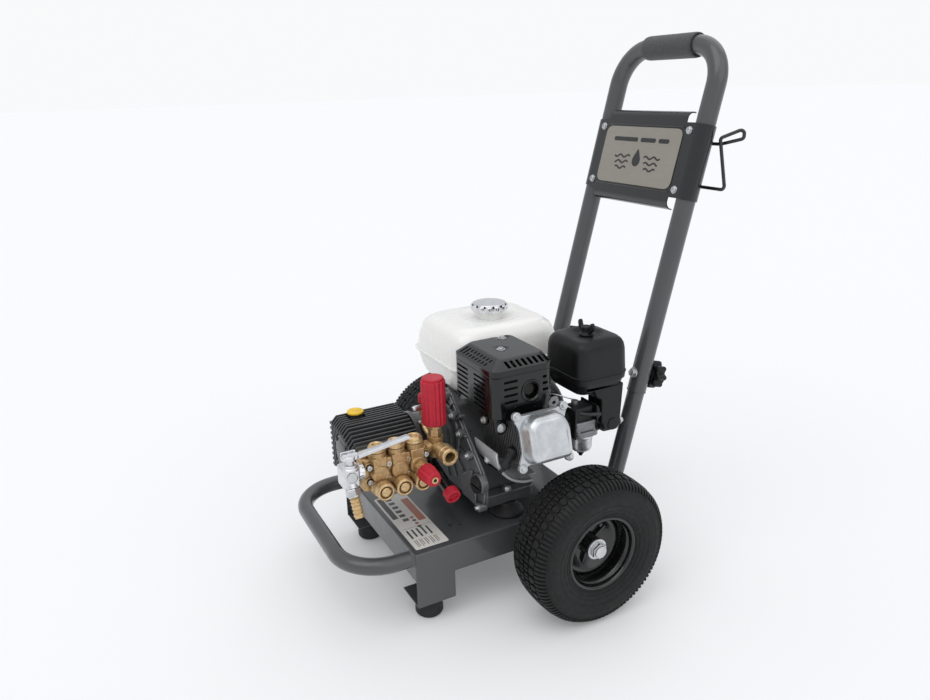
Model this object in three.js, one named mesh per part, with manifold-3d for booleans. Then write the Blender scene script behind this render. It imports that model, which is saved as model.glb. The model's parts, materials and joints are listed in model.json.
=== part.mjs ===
// Engine-driven pressure washer on a two-wheel hand cart, in millimetres, +Z up.
// A triplex plunger pump is bolted to the output face of a small petrol engine. Both stand on a
// folded steel deck with a front bumper, two rubber feet, two pneumatic wheels and a tall handle.
// +X is the operator's left, -Y is the front (the bumper), +Y is the rear (the handle).
// While it is laid out, y = 0 is the front edge of the deck and x = 0 the middle of the cart.
// At the end the whole machine is moved so that its origin is the middle of its footprint.

import * as THREE from 'three';
import { mergeVertices } from 'three/addons/utils/BufferGeometryUtils.js';
import Module from 'manifold-3d';

const wasm = await Module();
wasm.setup();

// ---- driving dimensions ---------------------------------------------------------------------

const GAP = 0.3; // clearance between pieces that touch on the real machine

const DECK = { halfWidth: 175, length: 359, top: 142, sheet: 2.5, skirtBottom: 90 };
const LEG = { length: 71, bottom: 39, flangeInner: 110 };
const FOOT = { x: 141, y: 35, radius: 24.5, height: 39, studRadius: 4 };
const WHEEL = { radius: 131, width: 96, centreX: 272, y: 277, rimRadius: 62 };
const AXLE = { radius: 8, halfLength: 305, z: 131 };
const BUMPER = { radius: 14.3, x: 157, z: 127.5, frontY: -105, bend: 78 };

const TUBE_X = 133.4; // handle and socket tubes, left and right of the middle
const RAKE = 0.27; // metres back for every metre up
const RAKE_Y_AT_ZERO = 396.9;
const HANDLE = { radius: 17.5, wall: 2, topZ: 924.5, bend: 70, seamZ: 316 };
const SOCKET = { radius: 16, z: 122, frontY: 296, bend: 62 };
const SPIGOT = { radius: 14.4, length: 126, slotWidth: 9.4 };
const CLAMP = { z: 350, boltRadius: 4, knobRadius: 26.5, knobLength: 25, knobOffset: 20 };
const PANEL = { bottomZ: 662, topZ: 790, sheet: 2, lip: 20 };

const CRANK = { x: 15, z: 272, radius: 10 };
const ENGINE = { front: 146, rear: 258, baseBottom: 165, baseTop: 185, tilt: 13.5 };
const COVER = { front: 135 };
const DIPSTICK = { x: 147, z: 223 };
const HEAD = { start: 76, end: 207, halfWidth: 38, halfHeight: 42, finTop: 30, centreY: 217 };
const TANK = { x0: -172, x1: 38, y0: 158, y1: 392, bottom: 335, seam: 382, top: 450 };
const FILLER = { x: -70, y: 284, neck: 6, radius: 25 };
const PUMP = { x0: -51, x1: 64, front: -52, rear: 66, bottom: 218, top: 322 };
const OIL_FILLER = { x: -22, y: -17 };
const MANIFOLD = { x0: 70, x1: 108, y0: -55, y1: 65, z0: 238, z1: 298 };
const COLUMN_Y = [-27, 6.5, 40]; // the three plunger heads
const UNLOADER = { x: 83, y: 87, knobRadius: 21, knobBottom: 323, knobTop: 408, outletZ: 283 };

// ---- solids ---------------------------------------------------------------------------------

/** A closed three.js geometry as a solid that can be joined and cut. */
function solid(geometry) {
  const bare = geometry.clone();
  bare.deleteAttribute('normal');
  bare.deleteAttribute('uv');
  const merged = mergeVertices(bare, 1e-4);
  const triangles = [];
  const index = merged.index.array;
  for (let i = 0; i < index.length; i += 3) {
    const [a, b, c] = [index[i], index[i + 1], index[i + 2]];
    if (a !== b && b !== c && c !== a) triangles.push(a, b, c);
  }
  const mesh = new wasm.Mesh({
    numProp: 3,
    vertProperties: new Float32Array(merged.attributes.position.array),
    triVerts: new Uint32Array(triangles),
  });
  return new wasm.Manifold(mesh);
}

const join = (...solids) => solids.reduce((whole, next) => whole.add(next));
const cut = (body, ...tools) => tools.reduce((whole, tool) => whole.subtract(tool), body);

/** A rectangular block between two opposite corners. */
function block([x0, y0, z0], [x1, y1, z1]) {
  const box = new THREE.BoxGeometry(x1 - x0, y1 - y0, z1 - z0);
  return solid(box.translate((x0 + x1) / 2, (y0 + y1) / 2, (z0 + z1) / 2));
}

/** Turns a geometry drawn along +Z so that it runs along a direction from a point. */
function aim(geometry, from, direction) {
  const axis = new THREE.Vector3(...direction).normalize();
  const turn = new THREE.Quaternion().setFromUnitVectors(new THREE.Vector3(0, 0, 1), axis);
  return geometry.applyQuaternion(turn).translate(...from);
}

/** Sides for a round surface: few on a bolt, more on a wheel. */
function facets(radius) {
  return 2 * Math.min(Math.max(Math.round(1.4 * Math.sqrt(radius)), 4), 12);
}

/** A round bar, or one with a given number of flat sides. */
function rod(from, to, radius, sides = facets(radius)) {
  const run = new THREE.Vector3(...to).sub(new THREE.Vector3(...from));
  const length = run.length();
  const bar = new THREE.CylinderGeometry(radius, radius, length, sides).rotateX(Math.PI / 2);
  return solid(aim(bar.translate(0, 0, length / 2), from, run.toArray()));
}

/** A cutting bar whose flats lie at the given radius, so that a round bar clears it. */
function hole(from, to, radius) {
  const sides = facets(radius);
  return rod(from, to, radius / Math.cos(Math.PI / sides), sides);
}

/** A turned piece: [radius, height] points from the axis to the axis, or a closed ring. */
function turned(profile, from, direction) {
  const widest = Math.max(...profile.map(([radius]) => radius));
  const points = profile.map(([radius, height]) => new THREE.Vector2(radius, height));
  if (THREE.ShapeUtils.area(points) < 0) points.reverse();
  const lathe = new THREE.LatheGeometry(points, facets(widest)).rotateX(Math.PI / 2);
  return solid(aim(lathe, from, direction));
}

/** A flat outline pushed along one axis. Outlines are (y, z), (x, z) or (x, y) pairs. */
function prism(outline, axis, from, to) {
  const shape = outline instanceof THREE.Shape ? outline : new THREE.Shape(
    outline.map(([a, b]) => (axis === 'y' ? new THREE.Vector2(b, a) : new THREE.Vector2(a, b))),
  );
  const depth = to - from;
  const body = new THREE.ExtrudeGeometry(shape, { depth, bevelEnabled: false, curveSegments: 6 });
  body.translate(0, 0, from);
  const turn = new THREE.Matrix4();
  if (axis === 'x') turn.set(0, 0, 1, 0, 1, 0, 0, 0, 0, 1, 0, 0, 0, 0, 0, 1);
  if (axis === 'y') turn.set(0, 1, 0, 0, 0, 0, 1, 0, 1, 0, 0, 0, 0, 0, 0, 1);
  return solid(body.applyMatrix4(turn));
}

/** A block with rounded upright corners and eased top and bottom edges. */
function softBlock([x0, y0, z0], [x1, y1, z1], corner, ease) {
  const shape = new THREE.Shape();
  const [a, b] = [(x1 - x0) / 2 - corner, (y1 - y0) / 2 - corner];
  shape.absarc(a, b, corner, 0, Math.PI / 2);
  shape.absarc(-a, b, corner, Math.PI / 2, Math.PI);
  shape.absarc(-a, -b, corner, Math.PI, Math.PI * 1.5);
  shape.absarc(a, -b, corner, Math.PI * 1.5, Math.PI * 2);
  const body = new THREE.ExtrudeGeometry(shape, {
    depth: z1 - z0 - 2 * ease,
    curveSegments: 2,
    bevelThickness: ease,
    bevelSize: ease,
    bevelOffset: -ease,
    bevelSegments: 1,
  });
  return solid(body.translate((x0 + x1) / 2, (y0 + y1) / 2, z0 + ease));
}

/** A round outline with lobes, such as a fluted knob. */
function lobedShape(radius, depth, lobes, pointsPerLobe = 4) {
  const shape = new THREE.Shape();
  const count = lobes * pointsPerLobe;
  for (let i = 0; i < count; i += 1) {
    const angle = (i / count) * Math.PI * 2;
    const r = radius - (depth / 2) * (1 - Math.cos(angle * lobes));
    const [x, y] = [r * Math.cos(angle), r * Math.sin(angle)];
    if (i === 0) shape.moveTo(x, y);
    else shape.lineTo(x, y);
  }
  shape.closePath();
  return shape;
}

/** A lobed knob along a direction. */
function knob(from, direction, length, radius, depth, lobes, pointsPerLobe) {
  const body = new THREE.ExtrudeGeometry(lobedShape(radius, depth, lobes, pointsPerLobe), {
    depth: length,
    bevelEnabled: false,
  });
  return solid(aim(body, from, direction));
}

/** A centre line through corner points, straight between them and round at each bend. */
class BentPath extends THREE.Curve {
  constructor(corners, bend, stepsPerBend = 5) {
    super();
    const at = corners.map((corner) => new THREE.Vector3(...corner));
    this.stations = [at[0]];
    for (let i = 1; i < at.length - 1; i += 1) {
      const before = at[i - 1].clone().sub(at[i]).normalize();
      const after = at[i + 1].clone().sub(at[i]).normalize();
      const half = before.angleTo(after) / 2;
      const centre = before.clone().add(after).normalize().multiplyScalar(bend / Math.sin(half));
      centre.add(at[i]);
      const start = before.multiplyScalar(bend / Math.tan(half)).add(at[i]).sub(centre);
      const end = after.multiplyScalar(bend / Math.tan(half)).add(at[i]).sub(centre);
      const axis = start.clone().cross(end).normalize();
      const sweep = start.angleTo(end);
      for (let step = 0; step <= stepsPerBend; step += 1) {
        const arm = start.clone().applyAxisAngle(axis, (sweep * step) / stepsPerBend);
        this.stations.push(arm.add(centre));
      }
    }
    this.stations.push(at[at.length - 1]);
    this.steps = this.stations.length - 1;
  }

  getPoint(t) {
    const place = Math.min(Math.max(t, 0), 1) * this.steps;
    const i = Math.min(Math.floor(place), this.steps - 1);
    return this.stations[i].clone().lerp(this.stations[i + 1], place - i);
  }

  getPointAt(u) {
    return this.getPoint(u);
  }

  getTangentAt(u) {
    const i = Math.round(u * this.steps);
    const sum = new THREE.Vector3();
    const side = (a, b) => this.stations[b].clone().sub(this.stations[a]).normalize();
    if (i > 0) sum.add(side(i - 1, i));
    if (i < this.steps) sum.add(side(i, i + 1));
    return sum.normalize();
  }
}

/** A bent round bar or, with an inner radius, a bent tube that is open at both ends. */
function bentBar(path, radius, sides = 12, innerRadius = 0) {
  const ring = (r) => Array.from({ length: sides }, (_, i) => {
    const angle = ((i + 0.5) / sides) * Math.PI * 2;
    return new THREE.Vector2(r * Math.cos(angle), r * Math.sin(angle));
  });
  const shape = new THREE.Shape(ring(radius));
  if (innerRadius > 0) shape.holes.push(new THREE.Path(ring(innerRadius).reverse()));
  return solid(new THREE.ExtrudeGeometry(shape, { steps: path.steps, extrudePath: path }));
}

// ---- materials and the machine --------------------------------------------------------------

function finish(color, roughness, metalness) {
  return new THREE.MeshStandardMaterial({ color, roughness, metalness });
}

const STEEL_GREY = finish(0x55585b, 0.35, 0.3);
const PANEL_BLACK = finish(0x151617, 0.3, 0.2);
const RUBBER = finish(0x1b1c1d, 0.85, 0);
const PLASTIC_BLACK = finish(0x1d1e20, 0.5, 0);
const ZINC = finish(0xb9bcbf, 0.35, 0.9);
const BRASS = finish(0xb08a4a, 0.42, 0.85);
const CAST_GREY = finish(0x5a5d60, 0.6, 0.5);
const CAST_SILVER = finish(0xb4b7b9, 0.45, 0.7);
const RED = finish(0xc01f2e, 0.45, 0);
const YELLOW = finish(0xe0c02a, 0.5, 0);
const TANK_WHITE = finish(0xf1f0ec, 0.25, 0);
const FOAM = finish(0x3a3b3d, 0.95, 0);
const PLATE = finish(0xb9b0a2, 0.4, 0.6);

const machine = new THREE.Group();
const layout = new THREE.Group();
machine.add(layout);

/** Adds one named piece to the machine. */
function piece(name, body, material) {
  const { vertProperties, triVerts } = body.getMesh();
  const geometry = new THREE.BufferGeometry();
  geometry.setAttribute('position', new THREE.BufferAttribute(vertProperties, 3));
  geometry.setIndex(new THREE.BufferAttribute(triVerts, 1));
  geometry.computeVertexNormals();
  const mesh = new THREE.Mesh(geometry, material);
  mesh.name = name;
  layout.add(mesh);
}

const SIDES = [['left', 1], ['right', -1]];

/** The middle of a handle tube at a height. */
const tubeY = (z) => RAKE_Y_AT_ZERO + RAKE * z;
const RAKE_LENGTH = Math.hypot(1, RAKE);
const UP_TUBE = [0, RAKE / RAKE_LENGTH, 1 / RAKE_LENGTH];
const BEHIND_TUBE = [0, 1 / RAKE_LENGTH, -RAKE / RAKE_LENGTH];
const along = (from, direction, distance) => from.map((v, i) => v + direction[i] * distance);

// ---- deck, bumper and feet ------------------------------------------------------------------

const MOUNT_PLACES = [['left', 128, 202], ['right_front', -46, 172], ['right_rear', -46, 234]];

function makeDeck() {
  const { halfWidth: w, length, top, sheet, skirtBottom } = DECK;
  const underside = top - sheet;
  const pieces = [
    block([-w, 0, underside], [w, length, top]),
    block([-w, 0, skirtBottom], [w, sheet, underside + 1]),
    block([-w, length - sheet, skirtBottom], [w, length, underside + 1]),
  ];
  for (const [, side] of SIDES) {
    const outer = side * w;
    const inner = side * (w - sheet);
    const [x0, x1] = [Math.min(inner, outer), Math.max(inner, outer)];
    const flangeEnd = side * LEG.flangeInner;
    const [f0, f1] = [Math.min(flangeEnd, outer), Math.max(flangeEnd, outer)];
    pieces.push(block([x0, 0, skirtBottom], [x1, length, underside + 1]));
    pieces.push(block([x0, 0, LEG.bottom], [x1, LEG.length, skirtBottom + 1]));
    pieces.push(block([f0, 0, LEG.bottom], [f1, LEG.length, LEG.bottom + sheet]));
  }
  const holes = [hole([-w - 5, WHEEL.y, AXLE.z], [w + 5, WHEEL.y, AXLE.z], AXLE.radius + GAP)];
  for (const [, side] of SIDES) {
    const foot = side * FOOT.x;
    const socket = side * TUBE_X;
    holes.push(hole([foot, FOOT.y, 30], [foot, FOOT.y, 60], FOOT.studRadius + 0.5));
    holes.push(hole([socket, length - 8, SOCKET.z], [socket, length + 5, SOCKET.z], SOCKET.radius + 0.6));
  }
  for (const [, x, y] of MOUNT_PLACES) {
    holes.push(hole([x, y, 130], [x, y, 150], 5.5));
  }
  for (const [x, y] of [[118, 92], [126, 108], [-120, 92], [-128, 108]]) {
    holes.push(hole([x, y, 130], [x, y, 150], 3));
  }
  return cut(join(...pieces), ...holes);
}

function makeFoot(side) {
  const { x, y, radius, height, studRadius } = FOOT;
  const rubber = [[0, 0], [radius - 3, 0], [radius, 4], [radius - 1.5, height - 4],
    [radius - 4, height - GAP], [0, height - GAP]];
  const nutBottom = LEG.bottom + DECK.sheet + GAP;
  return join(
    turned(rubber, [side * x, y, 0], [0, 0, 1]),
    rod([side * x, y, height - 2], [side * x, y, nutBottom + 12], studRadius),
    rod([side * x, y, nutBottom], [side * x, y, nutBottom + 7], 7.5, 6),
  );
}

piece('deck_plate', makeDeck(), STEEL_GREY);
piece('bumper_tube', bentBar(new BentPath([
  [BUMPER.x, -GAP, BUMPER.z],
  [BUMPER.x, BUMPER.frontY, BUMPER.z],
  [-BUMPER.x, BUMPER.frontY, BUMPER.z],
  [-BUMPER.x, -GAP, BUMPER.z],
], BUMPER.bend, 6), BUMPER.radius), STEEL_GREY);
for (const [label, side] of SIDES) {
  piece(`foot_${label}`, makeFoot(side), RUBBER);
}

function makeEngineMount(x, y) {
  const top = ENGINE.baseBottom - GAP;
  const bottom = DECK.top + GAP;
  const dome = [[0, bottom], [27, bottom], [27, bottom + 5], [20, bottom + 12], [15, top], [0, top]];
  return join(
    turned(dome, [x, y, 0], [0, 0, 1]),
    rod([x, y, DECK.top - 14], [x, y, bottom + 1], 4.5),
  );
}

for (const [label, x, y] of MOUNT_PLACES) {
  piece(`engine_mount_${label}`, makeEngineMount(x, y), RUBBER);
}

// ---- axle and wheels ------------------------------------------------------------------------

const HUB = { inner: WHEEL.centreX - 34, outer: WHEEL.centreX + 20, radius: 17 };

function makeAxle() {
  const { y } = WHEEL;
  const { radius, halfLength, z } = AXLE;
  const pieces = [rod([-halfLength, y, z], [halfLength, y, z], radius)];
  for (const [, side] of SIDES) {
    const washer = HUB.outer + GAP;
    pieces.push(rod([side * (HUB.inner - 5), y, z], [side * (HUB.inner - GAP), y, z], 12));
    pieces.push(rod([side * washer, y, z], [side * (washer + 2.5), y, z], 17));
    pieces.push(rod([side * (washer + 2), y, z], [side * (washer + 11), y, z], 13, 6));
  }
  return join(...pieces);
}

/** The tyre's section, half outside and half inside, turned round the axle. */
function makeTyre(side) {
  const { radius, width, rimRadius, centreX, y } = WHEEL;
  const half = width / 2;
  const bead = rimRadius - 6;
  const outer = [[bead, -30], [bead + 11, -30], [bead + 20, -44], [100, -half],
    [radius - 12, -43], [radius, -20], [radius, 20], [radius - 12, 43], [100, half],
    [bead + 20, 44], [bead + 11, 30], [bead, 30]];
  const inner = [[bead + 8, 27], [114, 30], [114, -30], [bead + 8, -27]];
  const ring = [...outer, ...inner, outer[0]];
  return turned(ring, [side * centreX, y, AXLE.z], [side, 0, 0]);
}

/** Deep-dish rim: a well that carries the tyre, a closed web, and a hub tube. */
function makeRim(side) {
  const { rimRadius, centreX, y } = WHEEL;
  const bead = rimRadius - 7;
  const bore = AXLE.radius + GAP;
  const well = [[rimRadius + 2, -34], [rimRadius + 2, -31], [bead, -31], [bead, 31],
    [rimRadius + 2, 31], [rimRadius + 2, 34], [bead - 3, 34], [bead - 3, -34],
    [rimRadius + 2, -34]];
  const web = [[HUB.radius - 2, -6], [bead - 2, -2], [bead - 2, 2], [HUB.radius - 2, -2],
    [HUB.radius - 2, -6]];
  const hub = [[bore, -34], [HUB.radius, -34], [HUB.radius, 20], [bore, 20], [bore, -34]];
  const centre = [side * centreX, y, AXLE.z];
  return join(...[well, web, hub].map((ring) => turned(ring, centre, [side, 0, 0])));
}

piece('axle', makeAxle(), ZINC);
for (const [label, side] of SIDES) {
  piece(`tyre_${label}`, makeTyre(side), RUBBER);
  piece(`rim_${label}`, makeRim(side), PANEL_BLACK);
}

// ---- handle ---------------------------------------------------------------------------------

/** Lower tube: along under the deck, up behind the wheel, then a thinner slotted spigot. */
function makeSocketTube(side) {
  const x = side * TUBE_X;
  const seam = [x, tubeY(HANDLE.seamZ), HANDLE.seamZ];
  const tube = bentBar(new BentPath([
    [x, SOCKET.frontY, SOCKET.z],
    [x, tubeY(SOCKET.z), SOCKET.z],
    along(seam, UP_TUBE, -GAP),
  ], SOCKET.bend, 5), SOCKET.radius);
  const spigotTop = along(seam, UP_TUBE, SPIGOT.length);
  const spigot = rod(along(seam, UP_TUBE, -6), spigotTop, SPIGOT.radius);
  const bolt = [x, tubeY(CLAMP.z), CLAMP.z];
  const slotHalf = SPIGOT.slotWidth / 2;
  const slot = new THREE.BoxGeometry(SPIGOT.slotWidth, 60, SPIGOT.length)
    .translate(0, 0, SPIGOT.length / 2 - slotHalf);
  return cut(join(tube, spigot), solid(aim(slot, bolt, UP_TUBE)));
}

function makeHandleTube() {
  const corner = (side) => [side * TUBE_X, tubeY(HANDLE.topZ), HANDLE.topZ];
  const foot = (side) => [side * TUBE_X, tubeY(HANDLE.seamZ), HANDLE.seamZ];
  const path = new BentPath([foot(1), corner(1), corner(-1), foot(-1)], HANDLE.bend, 5);
  const tube = bentBar(path, HANDLE.radius, 12, HANDLE.radius - HANDLE.wall);
  const holes = SIDES.map(([, side]) => {
    const bolt = [side * TUBE_X, tubeY(CLAMP.z), CLAMP.z];
    return hole(along(bolt, BEHIND_TUBE, -30), along(bolt, BEHIND_TUBE, 30), CLAMP.boltRadius + 0.5);
  });
  return cut(tube, ...holes);
}

function makeGrip() {
  const inner = HANDLE.radius + 1;
  const outer = inner + 3.5;
  const half = 66;
  const ring = [[inner, -half], [outer - 1.5, -half], [outer, -half + 3], [outer, half - 3],
    [outer - 1.5, half], [inner, half], [inner, -half]];
  return turned(ring, [0, tubeY(HANDLE.topZ), HANDLE.topZ], [1, 0, 0]);
}

/** Bolt through both tubes with a star knob behind and a hex head in front. */
function makeClampKnob(side) {
  const bolt = [side * TUBE_X, tubeY(CLAMP.z), CLAMP.z];
  const at = (distance) => along(bolt, BEHIND_TUBE, distance);
  const { boltRadius, knobRadius, knobLength, knobOffset } = CLAMP;
  return join(
    rod(at(-20), at(knobOffset + 2), boltRadius),
    rod(at(-24), at(-HANDLE.radius - 0.8), 7.5, 6),
    rod(at(HANDLE.radius + 0.8), at(knobOffset + 2), 12),
    knob(at(knobOffset), BEHIND_TUBE, knobLength, knobRadius, 7, 8, 5),
  );
}

/** A frame on the handle: u across, v behind the tubes and w up along them from a height. */
function onHandle(body, z) {
  const turn = new THREE.Matrix4().makeBasis(
    new THREE.Vector3(1, 0, 0),
    new THREE.Vector3(...BEHIND_TUBE),
    new THREE.Vector3(...UP_TUBE),
  );
  turn.setPosition(0, tubeY(z), z);
  return body.transform(turn.elements);
}

/** Flat front, wrapped round both tubes, with lips folded back at the top and the bottom. */
function makePanel() {
  const { bottomZ, topZ, sheet, lip } = PANEL;
  const height = (topZ - bottomZ) * RAKE_LENGTH;
  const wrap = HANDLE.radius + GAP;
  const front = -wrap - sheet;
  const pieces = [block([-TUBE_X, front, 0], [TUBE_X, front + sheet, height])];
  for (const [, side] of SIDES) {
    const shape = new THREE.Shape();
    const sweep = Math.PI * 1.15;
    const start = side > 0 ? -Math.PI / 2 : Math.PI * 1.5 - sweep;
    shape.absarc(0, 0, wrap + sheet, start, start + sweep, false);
    shape.absarc(0, 0, wrap, start + sweep, start, true);
    const sleeve = new THREE.ExtrudeGeometry(shape, {
      depth: height, bevelEnabled: false, curveSegments: 9,
    });
    pieces.push(solid(sleeve.translate(side * TUBE_X, 0, 0)));
  }
  for (const [w0, w1] of [[-lip, sheet], [height - sheet, height + lip]]) {
    pieces.push(block([-112, front, w0], [112, front + sheet, w1]));
  }
  for (const w of [-lip, height + lip - sheet]) {
    pieces.push(block([-112, front, w], [112, front + 16, w + sheet]));
  }
  return onHandle(join(...pieces), bottomZ);
}

function makeNamePlate() {
  const height = (PANEL.topZ - PANEL.bottomZ) * RAKE_LENGTH;
  const back = -HANDLE.radius - PANEL.sheet - 2 * GAP;
  const plate = softBlock([-108, -55, 0], [108, 55, 1.6], 12, 0.3)
    .rotate([90, 0, 0]).translate([0, back, height / 2]);
  return onHandle(plate, PANEL.bottomZ);
}

/** One bent wire: a hose hook behind each tube, joined across the back of the panel. */
function makeHoseHooks() {
  const hook = [
    [104, tubeY(757) + 25, 757],
    [150, tubeY(757) + 32, 757],
    [186, 650, 767],
    [186, 650, 784],
    [157, 624, 768],
    [184, 616, 682],
    [112, tubeY(684) + 25, 684],
  ];
  const mirrored = hook.map(([x, y, z]) => [-x, y, z]).reverse();
  return bentBar(new BentPath([...hook, ...mirrored], 5, 2), 3, 6);
}

for (const [label, side] of SIDES) {
  piece(`socket_tube_${label}`, makeSocketTube(side), STEEL_GREY);
  piece(`clamp_knob_${label}`, makeClampKnob(side), PLASTIC_BLACK);
}
piece('handle_tube', makeHandleTube(), STEEL_GREY);
piece('handle_grip', makeGrip(), FOAM);
piece('handle_panel', makePanel(), PANEL_BLACK);
piece('name_plate', makeNamePlate(), PLATE);
piece('hose_hooks', makeHoseHooks(), PANEL_BLACK);

// ---- engine ---------------------------------------------------------------------------------

/** A body drawn with u along the cylinder from the crank, y across and w square to both. */
function onCylinder(body) {
  return body.rotate([0, -ENGINE.tilt, 0]).translate([CRANK.x, 0, CRANK.z]);
}

const FLYWHEEL = { radius: 54, front: 272, rear: 292 };
const HOUSING = { radius: 96, top: 332, front: ENGINE.rear + GAP, rear: 326, wall: 3 };
const RECOIL = { radius: 60, rear: 372, outletAngle: 180 };

function makeEngineBlock() {
  const { front, rear, baseBottom, baseTop } = ENGINE;
  const outline = [[-70, baseTop], [-70, 285], [-46, 330], [50, 331], [100, 262], [116, baseTop]];
  const body = join(
    prism(outline, 'y', front, rear),
    softBlock([-60, front, baseBottom], [138, rear - 4, baseTop + 1], 10, 2),
  );
  const cylinderSide = onCylinder(block([HEAD.start - GAP, front - 20, -100], [260, rear + 20, 200]));
  const shaftBore = hole([CRANK.x, front - 5, CRANK.z], [CRANK.x, rear + 5, CRANK.z], CRANK.radius + 1.5);
  return cut(body, cylinderSide, shaftBore);
}

/** Output side cover: bolted on the block, with radial ribs and a ring of bolt bosses. */
function makeCrankcaseCover() {
  const outline = [[-76, 190], [-78, 300], [-46, 340], [30, 352], [62, 326], [118, 272],
    [152, 240], [162, 200], [146, 168], [118, 168], [96, 190]];
  const bosses = [[-62, 206], [-62, 314], [-20, 340], [30, 344], [60, 318], [85, 293],
    [115, 264], [150, 180]];
  const rear = ENGINE.front - GAP;
  const pieces = [
    prism(outline, 'y', COVER.front + 3, rear),
    rod([DIPSTICK.x, COVER.front + 2, DIPSTICK.z], [DIPSTICK.x, rear, DIPSTICK.z], 17),
    rod([CRANK.x, COVER.front, CRANK.z], [CRANK.x, rear, CRANK.z], 62),
    ...bosses.map(([x, z]) => rod([x, COVER.front - 4, z], [x, rear, z], 8.5)),
  ];
  for (const degrees of [-75, -50, -25, 5, 30]) {
    const angle = THREE.MathUtils.degToRad(degrees);
    const [dx, dz] = [Math.cos(angle), Math.sin(angle)];
    const rib = prism([
      [CRANK.x + 50 * dx + 2 * dz, CRANK.z + 50 * dz - 2 * dx],
      [CRANK.x + 88 * dx + 2 * dz, CRANK.z + 88 * dz - 2 * dx],
      [CRANK.x + 88 * dx - 2 * dz, CRANK.z + 88 * dz + 2 * dx],
      [CRANK.x + 50 * dx - 2 * dz, CRANK.z + 50 * dz + 2 * dx],
    ], 'y', COVER.front, rear);
    pieces.push(rib);
  }
  const bore = hole([CRANK.x, 120, CRANK.z], [CRANK.x, 160, CRANK.z], CRANK.radius + 1.5);
  const filler = hole([DIPSTICK.x, 120, DIPSTICK.z], [DIPSTICK.x, 144, DIPSTICK.z], 9.5);
  return cut(join(...pieces), bore, filler);
}

/** Finned cylinder and head in one casting, tilted up from the crank. */
function makeCylinderHead() {
  const { start, end, halfWidth, halfHeight, finTop, centreY } = HEAD;
  const [y0, y1] = [centreY - halfWidth, centreY + halfWidth];
  const pieces = [block([start, y0 + 10, -halfHeight + 10], [end, y1 - 10, finTop - 8])];
  const pitch = 10;
  for (let u = start + 3; u < end - 6; u += pitch) {
    pieces.push(block([u, y0, -halfHeight], [u + 3, y1, finTop]));
  }
  pieces.push(block([end - 6, y0, -halfHeight], [end, y1, halfHeight]));
  return onCylinder(join(...pieces));
}

function makeValveCover() {
  const { end, centreY } = HEAD;
  const lobes = [[-43, -40], [43, -40], [-43, 40], [43, 40]];
  const flange = [
    softBlock([-44, -46, 0], [44, 46, 7], 16, 1.5),
    ...lobes.map(([w, y]) => rod([w, y, 0.4], [w, y, 9], 10)),
    softBlock([-38, -40, 5], [41, 40, 36], 18, 7),
  ];
  const upright = join(...flange).rotate([0, 90, 0]).translate([end + GAP, centreY, 0]);
  return onCylinder(upright);
}

const OUTLET = { y: 218, z: 390, pipe: 10, hole: 14 };
const GUARD = { x0: 44, x1: 184, y0: 146, y1: 262, z0: 351, z1: 443.5, run: 26, drop: 11 };

/** Shell open underneath, with chamfered shoulders and slots on the front, side and top. */
function makeMufflerGuard() {
  const { x0, x1, y0, y1, z0, z1, run, drop } = GUARD;
  const wall = 3;
  const form = (inset) => {
    const bottom = inset > 0 ? z0 - 1 : z0;
    const section = [
      [x0 + inset, bottom], [x1 - inset, bottom], [x1 - inset, z1 - drop - inset],
      [x1 - run - inset / 2, z1 - inset], [x0 + inset, z1 - inset],
    ];
    const frontWedge = [
      [y0 + inset - run, z1 - 2 * drop - inset], [y0 + 2 * run + inset / 2, z1 + drop - inset],
      [y0 + inset - run, z1 + drop - inset],
    ];
    const body = prism(section, 'y', y0 + inset, y1 - inset);
    return cut(body, prism(frontWedge, 'x', x0 - 1, x1 + 1));
  };
  const tools = [hole([x1 - 10, OUTLET.y, OUTLET.z], [x1 + 5, OUTLET.y, OUTLET.z], OUTLET.hole)];
  for (let row = 0; row < 7; row += 1) {
    const z = z0 + 10 + row * 8.4;
    for (const left of [x0 + 14, x0 + 74]) {
      tools.push(block([left, y0 - 1, z], [left + 40, y0 + wall + 1, z + 3.5]));
    }
  }
  for (let row = 0; row < 5; row += 1) {
    const z = z0 + 13 + row * 11.7;
    tools.push(block([x1 - wall - 1, y0 + 21, z], [x1 + 1, y0 + 44, z + 4.5]));
  }
  for (let column = 0; column < 7; column += 1) {
    const y = y0 + run + 2 + column * 11;
    tools.push(block([x1 - run + 5, y, z1 - 2 * drop], [x1 - 5, y + 5, z1 + 1]));
  }
  return cut(form(0), form(wall), ...tools);
}

function makeMuffler() {
  return join(
    softBlock([56, 156, 356], [162, 252, 412], 18, 8),
    rod([150, OUTLET.y, OUTLET.z], [176, OUTLET.y, OUTLET.z], OUTLET.pipe),
  );
}

function makeFuelTank() {
  const { x0, x1, y0, y1, bottom, seam, top } = TANK;
  return cut(join(
    softBlock([x0 + 22, y0 + 5, bottom], [x1 - 6, y1 - 5, seam + 2], 26, 12),
    softBlock([x0, y0, seam - 2.5], [x1, y1, seam + 2.5], 30, 1),
    softBlock([x0 + 4, y0 + 4, seam], [x1 - 4, y1 - 4, top], 28, 16),
    rod([FILLER.x, FILLER.y, top - 30], [FILLER.x, FILLER.y, top + FILLER.neck], FILLER.radius),
  ), hole([FILLER.x, FILLER.y, top - 20], [FILLER.x, FILLER.y, top + 20], 20));
}

function makeFuelCap() {
  const base = TANK.top + FILLER.neck + GAP;
  const at = (z) => [FILLER.x, FILLER.y, z];
  return join(
    knob(at(base + 2), [0, 0, 1], 14, 36, 3.2, 12, 4),
    rod(at(base), at(base + 3), 32),
    rod(at(base - 14), at(base + 1), 17),
  );
}

const AIR = { x0: 72, x1: 186, y0: 313, y1: 421, bottom: 352, seam: 384, top: 450 };
const STUD = { x: 129, y: 367, radius: 4 };

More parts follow.
